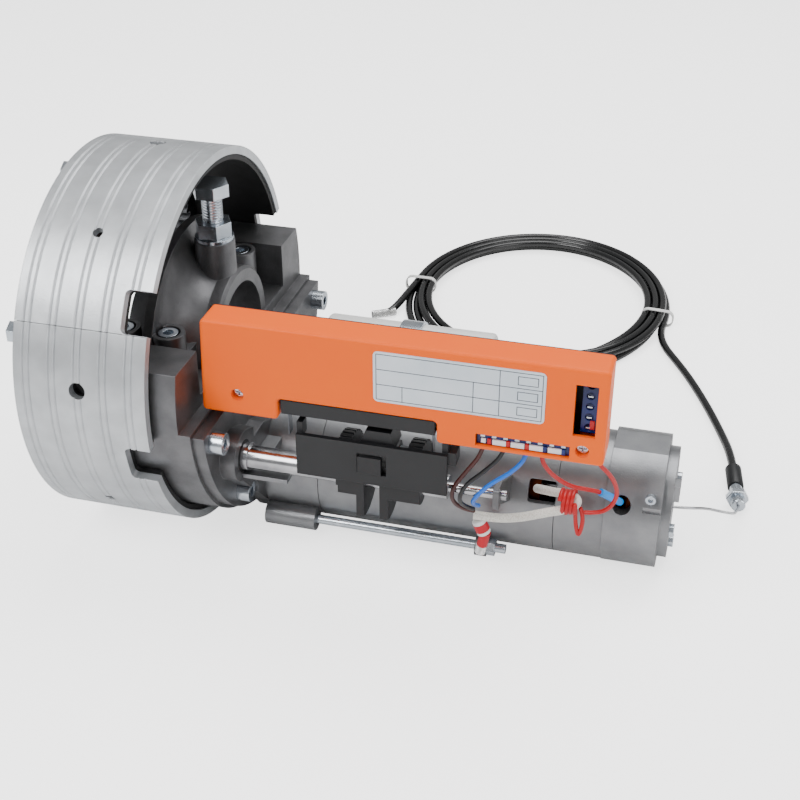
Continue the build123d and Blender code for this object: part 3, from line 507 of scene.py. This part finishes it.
def turned(name: str, section: list[tuple[float, float]], tip: Point, way: Point,
           material: bpy.types.Material, sides: int = 32) -> bpy.types.Object:
    """Turn a section about an axis.

    Args:
        name: of the new piece.
        section: (distance along the axis, radius) pairs in millimetres.
        tip: where the axis starts, in millimetres.
        way: which way the axis runs.
        material: its finish.
        sides: 6 for a hexagon, more for a round.

    Returns:
        The new piece.
    """
    along_axis = Vector(way).normalized()
    helper = Vector((0, 0, 1)) if abs(along_axis.z) < 0.9 else Vector((1, 0, 0))
    side = along_axis.cross(helper).normalized()
    top = side.cross(along_axis)
    verts, faces = [], []
    for along, radius in section:
        for i in range(sides):
            a = 2 * math.pi * i / sides
            at = Vector(tip) + along_axis * along + (side * math.cos(a) + top * math.sin(a)) * radius
            verts.append(at * MM)
    rings = len(section)
    for r in range(rings):
        after = (r + 1) % rings
        for i in range(sides):
            j = (i + 1) % sides
            faces.append((r * sides + i, r * sides + j, after * sides + j, after * sides + i))
    mesh = bpy.data.meshes.new(name)
    mesh.from_pydata(verts, [], faces)
    mesh.validate()
    if sides > HEXAGON:
        mesh.shade_smooth()
        mesh.set_sharp_from_angle(angle=math.radians(30))
    return link_mesh(name, mesh, material)


# ---- repeated shapes, made by node trees and kept as plain meshes ----
class RepeatTree:
    """A geometry node tree with named inputs that ends in realised instances and one material."""

    def __init__(self, name: str, inputs: dict[str, tuple[str, object]]) -> None:
        """Make the tree and its interface.

        Args:
            name: of the tree.
            inputs: socket name to its type and value.
        """
        self.tree = bpy.data.node_groups.new(name, "GeometryNodeTree")
        self.tree.interface.new_socket(name="Geometry", in_out="OUTPUT", socket_type="NodeSocketGeometry")
        self.values = {}
        for key, (kind, value) in inputs.items():
            socket = self.tree.interface.new_socket(name=key, in_out="INPUT", socket_type=kind)
            self.values[socket.identifier] = value
        self.source = self.tree.nodes.new("NodeGroupInput").outputs
        self.end = self.tree.nodes.new("NodeGroupOutput")

    def finish(self, name: str, last: bpy.types.NodeSocket, material: bpy.types.Material) -> bpy.types.Object:
        """Realise the tree once into a plain mesh object.

        Args:
            name: of the new piece.
            last: the socket that holds the shape.
            material: its finish.

        Returns:
            The new piece, with no modifier left.
        """
        real = add_node(self.tree, "GeometryNodeRealizeInstances", {"Geometry": last})
        dressed = add_node(self.tree, "GeometryNodeSetMaterial", {
            "Geometry": real.outputs[0], "Material": material})
        self.tree.links.new(dressed.outputs[0], self.end.inputs[0])
        piece = link_mesh(name, bpy.data.meshes.new(f"{name}_seed"), material)
        modifier = piece.modifiers.new("repeat", "NODES")
        modifier.node_group = self.tree
        for identifier, value in self.values.items():
            modifier[identifier] = value
        ready = piece.evaluated_get(bpy.context.evaluated_depsgraph_get())
        mesh = bpy.data.meshes.new_from_object(ready)
        piece.modifiers.clear()
        piece.data = mesh
        mesh.name = name
        return piece


def bars(name: str, count: int, start: Point, step: Point, size: Point,
         material: bpy.types.Material) -> bpy.types.Object:
    """A row of equal bars or blocks.

    Args:
        name: of the new piece.
        count: how many there are.
        start: centre of the first, in millimetres.
        step: from one to the next, in millimetres.
        size: of each, in millimetres.
        material: their finish.

    Returns:
        One piece that holds them all.
    """
    row = RepeatTree(f"{name}_row", {
        "Count": ("NodeSocketInt", count),
        "Start": ("NodeSocketVector", [c * MM for c in start]),
        "Step": ("NodeSocketVector", [c * MM for c in step]),
        "Size": ("NodeSocketVector", [c * MM for c in size]),
    })
    line = add_node(row.tree, "GeometryNodeMeshLine", {
        "Count": row.source["Count"], "Start Location": row.source["Start"], "Offset": row.source["Step"]})
    cube = add_node(row.tree, "GeometryNodeMeshCube", {"Size": row.source["Size"]})
    placed = add_node(row.tree, "GeometryNodeInstanceOnPoints", {
        "Points": line.outputs["Mesh"], "Instance": cube.outputs["Mesh"]})
    return row.finish(name, placed.outputs["Instances"], material)


def thread(name: str, base: Point, length: float, radius: float, pitch: float,
           material: bpy.types.Material) -> bpy.types.Object:
    """An upright screw thread's crest as one helix.

    Args:
        name: of the new piece.
        base: centre of its lower end, in millimetres.
        length: along the screw, in millimetres.
        radius: to the middle of the crest, in millimetres.
        pitch: from one turn to the next, in millimetres.
        material: its finish.

    Returns:
        The thread.
    """
    helix = RepeatTree(f"{name}_helix", {
        "Turns": ("NodeSocketFloat", length / pitch),
        "Radius": ("NodeSocketFloat", radius * MM),
        "Height": ("NodeSocketFloat", length * MM),
        "Crest": ("NodeSocketFloat", 0.32 * pitch * MM),
    })
    spiral = add_node(helix.tree, "GeometryNodeCurveSpiral", {
        "Resolution": 32, "Rotations": helix.source["Turns"], "Start Radius": helix.source["Radius"],
        "End Radius": helix.source["Radius"], "Height": helix.source["Height"]})
    profile = add_node(helix.tree, "GeometryNodeCurvePrimitiveCircle", {
        "Resolution": 6, "Radius": helix.source["Crest"]})
    tube = add_node(helix.tree, "GeometryNodeCurveToMesh", {
        "Curve": spiral.outputs[0], "Profile Curve": profile.outputs[0], "Fill Caps": True})
    piece = helix.finish(name, tube.outputs[0], material)
    piece.data.transform(Matrix.Translation(Vector(base) * MM))
    piece.data.shade_smooth()
    return piece


# ---- cords ----
@dataclass
class Cord:
    """One round flexible line: a wire, a sleeve over wires or a control cable."""

    name: str
    route_mm: list[Point]
    radius_mm: float
    length: float
    far_end: str
    stiffness: str
    lay: str

    def build(self, material: bpy.types.Material) -> bpy.types.Object:
        """Draw the line as one open spline through its control points.

        Args:
            material: its covering.

        Returns:
            The curve object.
        """
        curve = bpy.data.curves.new(self.name, "CURVE")
        curve.dimensions = "3D"
        curve.bevel_depth = self.radius_mm * MM
        curve.bevel_resolution = 4
        curve.use_fill_caps = True
        curve.resolution_u = 6
        spline = curve.splines.new("NURBS")
        spline.points.add(len(self.route_mm) - 1)
        for point, (x, y, z) in zip(spline.points, self.route_mm):
            point.co = (x * MM, y * MM, z * MM, 1.0)
        spline.order_u = 3
        spline.use_endpoint_u = True
        curve.materials.append(material)
        piece = bpy.data.objects.new(self.name, curve)
        bpy.context.scene.collection.objects.link(piece)
        return piece


@dataclass
class ReleaseCable:
    """The brake release: bare inner wire, ferrule, sheathed lead, coil and plain end."""

    centre: tuple[float, float] = (128.0, 270.0)
    outer: tuple[float, float] = (96.0, 111.0)
    radius: float = 2.5
    floor: float = -100.0
    lanes: tuple[float, ...] = (0.3, 5.8, 11.3, 14.0, 8.6, 3.2)
    upper_from: int = 3
    upper_lift: float = 4.75
    fan: tuple[float, ...] = (0.0, 1.6, 3.4, 6.4, 3.6, 1.6)
    steps: int = 16
    start: float = -18.0
    turns: float = 5.6
    crossing: float = 0.2
    tie_inward: float = 9.6
    tie_half_width: float = 10.4
    tie_height: float = 10.6
    length: float = 3.6
    inner_radius: float = 0.75
    inner_length: float = 0.081
    inner_mm: tuple[Point, ...] = (
        (246, -12, -60), (254.5, -10, -60.6), (262.5, -3, -64), (269.5, 7, -71.5), (275.5, 20, -81),
        (279.5, 33.5, -90), (280.5, 47, -94.4),
    )
    lead_mm: tuple[Point, ...] = (
        (275.5, 84.7, -94.4), (273.6, 99, -94.9), (267, 125, -97.5), (254.5, 160, -97.5), (238.5, 197, -97.5),
    )
    end_mm: tuple[Point, ...] = ((32.5, 227, -95.4), (26.5, 222.5, -97.2), (19, 218.5, -97.5))
    tip: Point = (280.5, 47.0, -94.4)
    way: Point = (-0.131, 0.9914, 0.0)

    def lane(self, turn: float) -> tuple[float, float, float]:
        """Place one strand of the bundle; it changes lanes over the last part of each turn.

        Args:
            turn: number of turns from the start.

        Returns:
            How far in, how high and how fanned out it lies, in millimetres.
        """
        k = min(int(turn), len(self.lanes) - 1)
        after = min(k + 1, len(self.lanes) - 1)
        share = max(0.0, (turn - k - 1 + self.crossing) / self.crossing)
        share = share * share * (3 - 2 * share)
        lift = [self.upper_lift if i >= self.upper_from else 0.0 for i in (k, after)]
        return (
            self.lanes[k] + (self.lanes[after] - self.lanes[k]) * share,
            lift[0] + (lift[1] - lift[0]) * share,
            self.fan[k] + (self.fan[after] - self.fan[k]) * share,
        )

    def coil_points(self) -> list[Point]:
        """Lay out the coil's turns.

        Returns:
            Their control points, in millimetres.
        """
        points = []
        count = int(self.turns * self.steps)
        for i in range(count + 1):
            turn = i / self.steps
            angle = math.radians(self.start + 360 * turn)
            inward, lift, fan = self.lane(turn)
            splay = fan * math.sin(angle) ** 2 * (0.75 + 0.25 * math.sin(angle + turn))
            spread = inward + self.radius + splay
            points.append(
                (
                    self.centre[0] + (self.outer[0] - spread) * math.cos(angle),
                    self.centre[1] + (self.outer[1] - spread) * math.sin(angle),
                    self.floor + self.radius + lift,
                )
            )
        return points

    def build(self, palette: Palette) -> None:
        """Args:
            palette: the finishes.
        """
        inner = Cord("release_wire_bare", list(self.inner_mm), self.inner_radius, self.inner_length, "fitting",
                     "stiff", "loose")
        wire = inner.build(palette["ground_shaft_steel"])
        settle(wire, "motor", "ground_steel", "release_inner_wire")
        ferrule = [
            turned("ferrule_tip", [(0, 0.8), (0, 3.4), (0.6, 4.0), (5.4, 4.0), (6.0, 3.4), (6.0, 0.8)],
                   self.tip, self.way, palette["bright_zinc_plate"]),
            turned("ferrule_hex", [(6.0, 0.8), (6.0, 5.9), (6.5, 6.3), (10.0, 6.3), (10.5, 5.9), (10.5, 0.8)],
                   self.tip, self.way, palette["bright_zinc_plate"], HEXAGON),
            turned("ferrule_neck", [(10.5, 0.8), (10.5, 3.6), (18.0, 3.6), (18.0, 0.8)],
                   self.tip, self.way, palette["bright_zinc_plate"]),
            turned("ferrule_boot",
                   [(18.0, 0.8), (18.0, 4.2), (18.8, 4.6), (36.5, 4.6), (38.0, 3.6), (38.0, 2.5)],
                   self.tip, self.way, palette["black_glass_nylon"]),
        ]
        settle(ferrule[0], "motor", "zinc_steel", "cable_ferrule")
        for piece in ferrule[1:3]:
            settle(piece, "motor", "zinc_steel")
        settle(ferrule[3], "motor", "black_nylon")
        route = [*self.lead_mm, *self.coil_points(), *self.end_mm]
        sheath = Cord("release_cable", route, self.radius, self.length, "bare", "medium", "coiled")
        cable = sheath.build(palette["black_cable_sheath"])
        settle(cable, "motor", "cable_pvc", "release_cable_lead", "release_cable_coil", "release_cable_end")
        ties = [self.tie("cable_tie_left", 180.0, palette), self.tie("cable_tie_right", -5.0, palette)]
        settle(ties[0], "motor", "white_plastic", "cable_ties")
        settle(ties[1], "motor", "white_plastic")
        end_sleeve = turned("cable_end_sleeve", [(0, 2.6), (0, 2.85), (17.0, 2.85), (17.0, 2.6)],
                            (19.2, 218.6, -97.1), (0.86, 0.5, 0.02), palette["clear_pvc_tube"])
        settle(end_sleeve, "motor", "cable_pvc")

    def tie(self, name: str, angle: float, palette: Palette) -> bpy.types.Object:
        """Pull a flat tie round the bundle.

        Args:
            name: of the new piece.
            angle: where on the coil, in degrees.
            palette: the finishes.

        Returns:
            The tie.
        """
        a = math.radians(angle)
        out = Vector((math.cos(a), math.sin(a), 0))
        along = Vector((-math.sin(a), math.cos(a), 0))
        reach = self.outer[0] if abs(math.cos(a)) > 0.7 else self.outer[1]
        middle = Vector((self.centre[0], self.centre[1], 0)) + out * (reach - self.tie_inward)
        half_width, low, high = self.tie_half_width, self.floor + 0.1, self.floor + self.tie_height
        corner, thickness, half_band, arc_steps = 4.2, 0.9, 1.6, 5
        path = []
        spots = [(-half_width, low, 180), (half_width, low, 270),
                 (half_width, high, 0), (-half_width, high, 90)]
        for x, z, first in spots:
            cx = x - math.copysign(corner, x)
            cz = z + corner if z == low else z - corner
            for s in range(arc_steps + 1):
                t = math.radians(first + 90 * s / arc_steps)
                path.append((cx + corner * math.cos(t), cz + corner * math.sin(t)))
        verts, faces = [], []
        for x, z in path:
            grow = Vector((x, 0, z - (low + high) / 2)).normalized() * thickness
            for w, extra in ((-half_band, 0), (half_band, 0), (half_band, 1), (-half_band, 1)):
                at = middle + out * (x + grow.x * extra) + along * w
                verts.append(Vector((at.x, at.y, z + grow.z * extra)) * MM)
        n = len(path)
        for i in range(n):
            j = (i + 1) % n
            for k in range(4):
                m = (k + 1) % 4
                faces.append((4 * i + k, 4 * i + m, 4 * j + m, 4 * j + k))
        mesh = bpy.data.meshes.new(name)
        mesh.from_pydata(verts, [], faces)
        mesh.validate()
        mesh.shade_smooth()
        mesh.set_sharp_from_angle(angle=math.radians(40))
        return link_mesh(name, mesh, palette["white_tie_nylon"])


@dataclass
class Wiring:
    """The wires between the control box, the switches, the motor and the brake."""

    radius: float = 1.1
    routes: dict[str, tuple[Point, ...]] = field(
        default_factory=lambda: {
            "brown_supply_wire": ((157.1, -63.5, 3.2), (157.1, -65, -7), (147.5, -66, -21.5), (142, -66, -31),
                                  (141.5, -64, -39.5), (145.5, -56.5, -49), (150, -50.5, -53.5)),
            "black_supply_wire": ((167.3, -63.5, 3.2), (167.3, -65, -6), (158, -66.2, -17.5),
                                  (149, -66.4, -26.5), (145.4, -66, -35.5), (146, -60.5, -44),
                                  (150.3, -53, -50.5)),
            "blue_supply_wire": ((177.9, -63.5, 3.2), (177.9, -65, -6), (171.5, -66, -15.5),
                                 (160.5, -66.2, -24.5), (153, -64, -35.5), (150.2, -57.5, -44.5),
                                 (152.2, -49.5, -50.5)),
            "red_motor_wire": ((183.7, -63.5, 3.2), (183.7, -64, -7), (187.5, -60, -16.5), (192.5, -54, -25),
                               (198.5, -48.5, -31.5), (205, -45.5, -33.6), (211.5, -43.5, -35.5),
                               (217, -38.5, -41.5), (221, -31, -48.5)),
            "red_return_wire": ((209.9, -62.5, 2), (210.3, -62.8, -6), (215.8, -58.5, -13.5),
                                (219.3, -54, -22.5), (220.2, -50, -32), (217.3, -47.5, -41),
                                (211.5, -46.5, -46.3), (203, -46, -47.5)),
        }
    )
    lengths: dict[str, float] = field(
        default_factory=lambda: {
            "brown_supply_wire": 0.068,
            "black_supply_wire": 0.066,
            "blue_supply_wire": 0.071,
            "red_motor_wire": 0.078,
            "red_return_wire": 0.065,
        }
    )
    sleeve_mm: tuple[Point, ...] = (
        (149.8, -48.5, -57.5), (161, -48.5, -57.6), (174, -48.6, -54.4), (186, -49, -48.8),
        (194.5, -49.4, -45.4), (200.8, -47.2, -43.2), (200.6, -42.6, -41.8), (194, -40.6, -41.6),
        (187, -39.2, -42.6), (181.6, -35.2, -45), (178.4, -29.6, -48.8),
    )
    shrink_mm: tuple[Point, ...] = (
        (211.6, -43.4, -35.6), (214.4, -41.4, -38.2), (217.4, -38, -41.9), (220.6, -31.8, -47.8),
    )

    def build(self, palette: Palette) -> None:
        """Draw every wire and its sleeves.

        Args:
            palette: the finishes.
        """
        finishes = {"brown": "brown_pvc_wire", "black": "black_pvc_wire", "blue": "blue_pvc_wire",
                    "red": "red_silicone_wire"}
        stands_for = {"brown_supply_wire": "supply_wires", "red_motor_wire": "motor_wires"}
        for name, route in self.routes.items():
            wire = Cord(name, list(route), self.radius, self.lengths[name], "object", "medium", "loose")
            piece = wire.build(palette[finishes[name.split("_")[0]]])
            settle(piece, "motor", "wire_pvc", *filter(None, [stands_for.get(name)]))
            if name == "red_motor_wire":
                shrink = Cord("cyan_lead_sleeve", list(self.shrink_mm), 2.0, 0.0, "object", "stiff", "taut")
                settle(shrink.build(palette["cyan_heat_shrink"]), "motor", "wire_pvc")
        sleeve = Cord("braided_lead_sleeve", list(self.sleeve_mm), 2.3, 0.086, "object", "medium", "loose")
        piece = sleeve.build(palette["braided_glass_sleeving"])
        settle(piece, "motor", "braided_sleeve", "motor_lead_sleeve")
        trims = self.knot(palette) + self.marker(palette)

    def knot(self, palette: Palette) -> list[bpy.types.Object]:
        """Wind red wire round the sleeve, with its hanging loop.

        Args:
            palette: the finishes.

        Returns:
            The knot's piece.
        """
        turns, steps, start, end = 4.0, 18, 192.6, 200.4
        middle_y, middle_z, deep, tall, uneven = -45.2, -42.8, 6.0, 5.4, 0.06
        points = []
        for i in range(int(turns * steps) + 1):
            share = i / (turns * steps)
            angle = 2 * math.pi * turns * share + 0.6
            wobble = 1 + uneven * math.sin(5 * angle / turns)
            points.append((start + (end - start) * share, middle_y - deep * wobble * math.cos(angle),
                           middle_z + tall * wobble * math.sin(angle)))
        points += [(200.6, -47.0, -50.5), (201.4, -47.2, -56.5), (202.8, -47.2, -61.6), (204.2, -47.0, -56.0),
                   (204.4, -46.8, -49.0), (202.6, -46.4, -44.5)]
        wound = Cord("red_wire_knot", points, 1.05, 0.0, "knot", "medium", "taut")
        piece = wound.build(palette["red_silicone_wire"])
        settle(piece, "motor", "wire_pvc", "wire_tie")
        return [piece]

    def marker(self, palette: Palette) -> list[bpy.types.Object]:
        """Fit the banded marker and the crimson end sleeve under clear tube, at the sleeve's plain end.

        Args:
            palette: the finishes.

        Returns:
            Their pieces.
        """
        first, first_way = (152.2, -48.5, -60.0), (0.42, 0.03, -1.0)
        second, second_way = (156.2, -48.3, -66.8), (-0.2, 0.03, -1.0)
        pieces = [
            turned("marker_white", [(0, 0.2), (0, 3.2), (0.5, 3.6), (8.0, 3.6), (8.5, 3.2), (8.5, 0.2)],
                   first, first_way, palette["white_tie_nylon"]),
            turned("marker_band", [(1.8, 3.5), (1.8, 3.72), (6.4, 3.72), (6.4, 3.5)], first, first_way,
                   palette["marker_red_print"]),
            turned("marker_core", [(0.4, 0.2), (0.4, 2.75), (9.4, 2.75), (9.4, 0.2)], second, second_way,
                   palette["marker_red_print"]),
            turned("marker_clear", [(8.9, 2.78), (8.9, 2.95), (13.8, 2.95), (13.8, 2.4), (9.5, 2.4)],
                   second, second_way, palette["clear_pvc_tube"]),
        ]
        settle(pieces[0], "motor", "wire_pvc", "wire_marker")
        for piece in pieces[1:]:
            settle(piece, "motor", "wire_pvc")
        return pieces


# ---- finishes on the machined and moulded parts ----
NODE_FINISHES = {
    "tumbled_cast_aluminium": ("crown_main", "crown_segment"),
    "raw_cast_aluminium": (
        "gear_case", "axle_clamp_cap", "gear_case_cover", "tie_rod_lugs", "spindle_end_bracket",
    ),
    "barrel_aluminium": ("stator_shell", "motor_front_bell", "motor_rear_bell", "brake_housing", "tail_cap"),
    "bright_zinc_plate": (
        "axle_clamp_bolt", "clamp_lock_nut", "clamp_cap_screws", "crown_back_bolts", "gear_cover_screws",
        "tail_screws", "tie_rods", "tie_rod_nuts", "capacitor_strap", "box_screws",
    ),
    "ground_shaft_steel": ("limit_spindle", "motor_bearings", "gear_bearings", "rotor"),
    "case_hardened_gear_steel": ("ring_gear", "output_gear", "counter_gear"),
    "blue_spring_steel": ("switch_lever_near", "switch_lever_far"),
    "enamelled_copper_wire": ("stator_windings", "brake_coil"),
    "stator_laminations": ("stator_core", "brake_armature"),
    "orange_abs": ("control_box_cover",),
    "black_nylon_liner": ("crown_liner",),
    "black_glass_nylon": (
        "control_box_base", "switch_carrier", "limit_nut_near", "limit_nut_far", "lock_plate", "lock_button",
        "microswitches",
    ),
    "nitrile_seal": ("spindle_seal",),
    "white_capacitor_shell": ("capacitor",),
    "blue_terminal_polyamide": ("terminal_blocks",),
    "silver_label_film": ("rating_label",),
    "marker_red_print": ("wire_marker",),
    "red_silicone_wire": ("wire_tie",),
}


def dress_nodes(nodes: dict[str, bpy.types.Object], palette: Palette) -> None:
    """Give every shown CAD node its finish.

    Args:
        nodes: CAD nodes by name.
        palette: the finishes.
    """
    for finish, names in NODE_FINISHES.items():
        for name in names:
            mesh_materials = nodes[name].data.materials
            mesh_materials.clear()
            mesh_materials.append(palette[finish])
            LOG.info("node %s: %s", name, finish)


@dataclass
class BoxTrim:
    """Blank label grid and the two rows of terminals in the control box."""

    label_left: float = 104.5
    label_top: float = 43.9
    label_face: float = -72.3
    width: float = 81.0
    height: float = 27.0
    line: float = 0.35
    ink: float = 0.04
    rim: float = 1.3
    box_left: float = 68.0
    box_width: float = 9.4
    box_height: float = 4.5
    supply_front: float = -70.3

    def line_row(self, name: str, count: int, x: float, down: float, step_x: float, step_down: float,
                 long: float, high: float, palette: Palette) -> None:
        """Print a row of equal lines on the label.

        Args:
            name: of the new piece.
            count: how many lines.
            x: from the label's left edge to the first, in millimetres.
            down: from its top edge to the first.
            step_x: from one to the next, to the right.
            step_down: from one to the next, down.
            long: width of each.
            high: height of each.
            palette: the finishes.
        """
        centre = (self.label_left + x + long / 2, self.label_face - 0.01, self.label_top - down - high / 2)
        piece = bars(name, count, centre, (step_x, 0, -step_down), (long, self.ink, high),
                     palette["grey_label_ink"])
        settle(piece, "motor", "label_film")

    def build(self, palette: Palette) -> None:
        """Draw the grid and fit the terminals.

        Args:
            palette: the finishes.
        """
        rim = self.rim
        inner_w, inner_h = self.width - 2 * rim, self.height - 2 * rim - 0.3
        self.line_row("label_rows", 4, rim, rim, 0, inner_h / 3, inner_w, self.line, palette)
        self.line_row("label_sides", 2, rim, rim, inner_w - self.line, 0, self.line, inner_h, palette)
        self.line_row("label_column_a", 1, 59.6, rim, 0, 0, self.line, inner_h, palette)
        self.line_row("label_column_b", 1, 47.4, rim + inner_h / 3, 0, 0, self.line, inner_h * 2 / 3, palette)
        self.line_row("label_column_c", 1, 13.8, rim + inner_h * 2 / 3, 0, 0, self.line, inner_h / 3, palette)
        left, wide, tall = self.box_left, self.box_width, self.box_height
        self.line_row("label_box_tops", 3, left, rim + 1.9, 0, inner_h / 3, wide, self.line, palette)
        self.line_row("label_box_feet", 3, left, rim + 6.2, 0, inner_h / 3, wide, self.line, palette)
        self.line_row("label_box_lefts", 3, left, rim + 1.9, 0, inner_h / 3, self.line, tall, palette)
        self.line_row("label_box_rights", 3, left + 9.2, rim + 1.9, 0, inner_h / 3, self.line, tall, palette)
        white = palette["white_terminal_pbt"]
        red = palette["red_silicone_wire"]
        front = self.supply_front
        for piece in (
            bars("supply_levers_white", 4, (164.9, front, 2.4), (8.7, 0, 0), (6.4, 1.0, 2.6), white),
            bars("supply_lever_end", 1, (157.4, front, 2.6), (1, 0, 0), (2.2, 1.0, 2.2), white),
            bars("supply_wedges_red", 3, (160.2, front, 2.4), (8.9, 0, 0), (1.8, 0.9, 3.0), red),
            bars("supply_wedges_blue", 2, (186.4, front, 2.4), (8.7, 0, 0), (1.8, 0.9, 3.0),
                 palette["blue_terminal_polyamide"]),
            bars("supply_screw_heads", 8, (157.0, front + 0.2, 5.2), (5.42, 0, 0), (2.2, 0.8, 1.2),
                 palette["bright_zinc_plate"]),
            bars("switch_screw_heads", 5, (205.2, -67.2, 15.5), (0, 0, 5.54), (2.4, 0.6, 0.8),
                 palette["bright_zinc_plate"]),
            bars("switch_led_block", 1, (206.9, -67.5, 17.3), (0, 0, 1), (2.2, 0.8, 4.4), red),
        ):
            settle(piece, "motor", "blue_terminal")


def main() -> None:
    """Build the scene in order: studio, cords, finishes, trim."""
    logging.basicConfig(level=logging.INFO, format="%(message)s")
    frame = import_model()
    Studio().build()
    palette = Palette()
    ReleaseCable().build(palette)
    Wiring().build(palette)
    dress_nodes(frame["nodes"], palette)
    BoxTrim().build(palette)
    crest = thread("clamp_bolt_thread", (-1.0, 0.0, 66.2), 13.4, 4.95, 1.5, palette["bright_zinc_plate"])
    settle(crest, "motor", "zinc_steel")


if __name__ == "__main__":
    main()
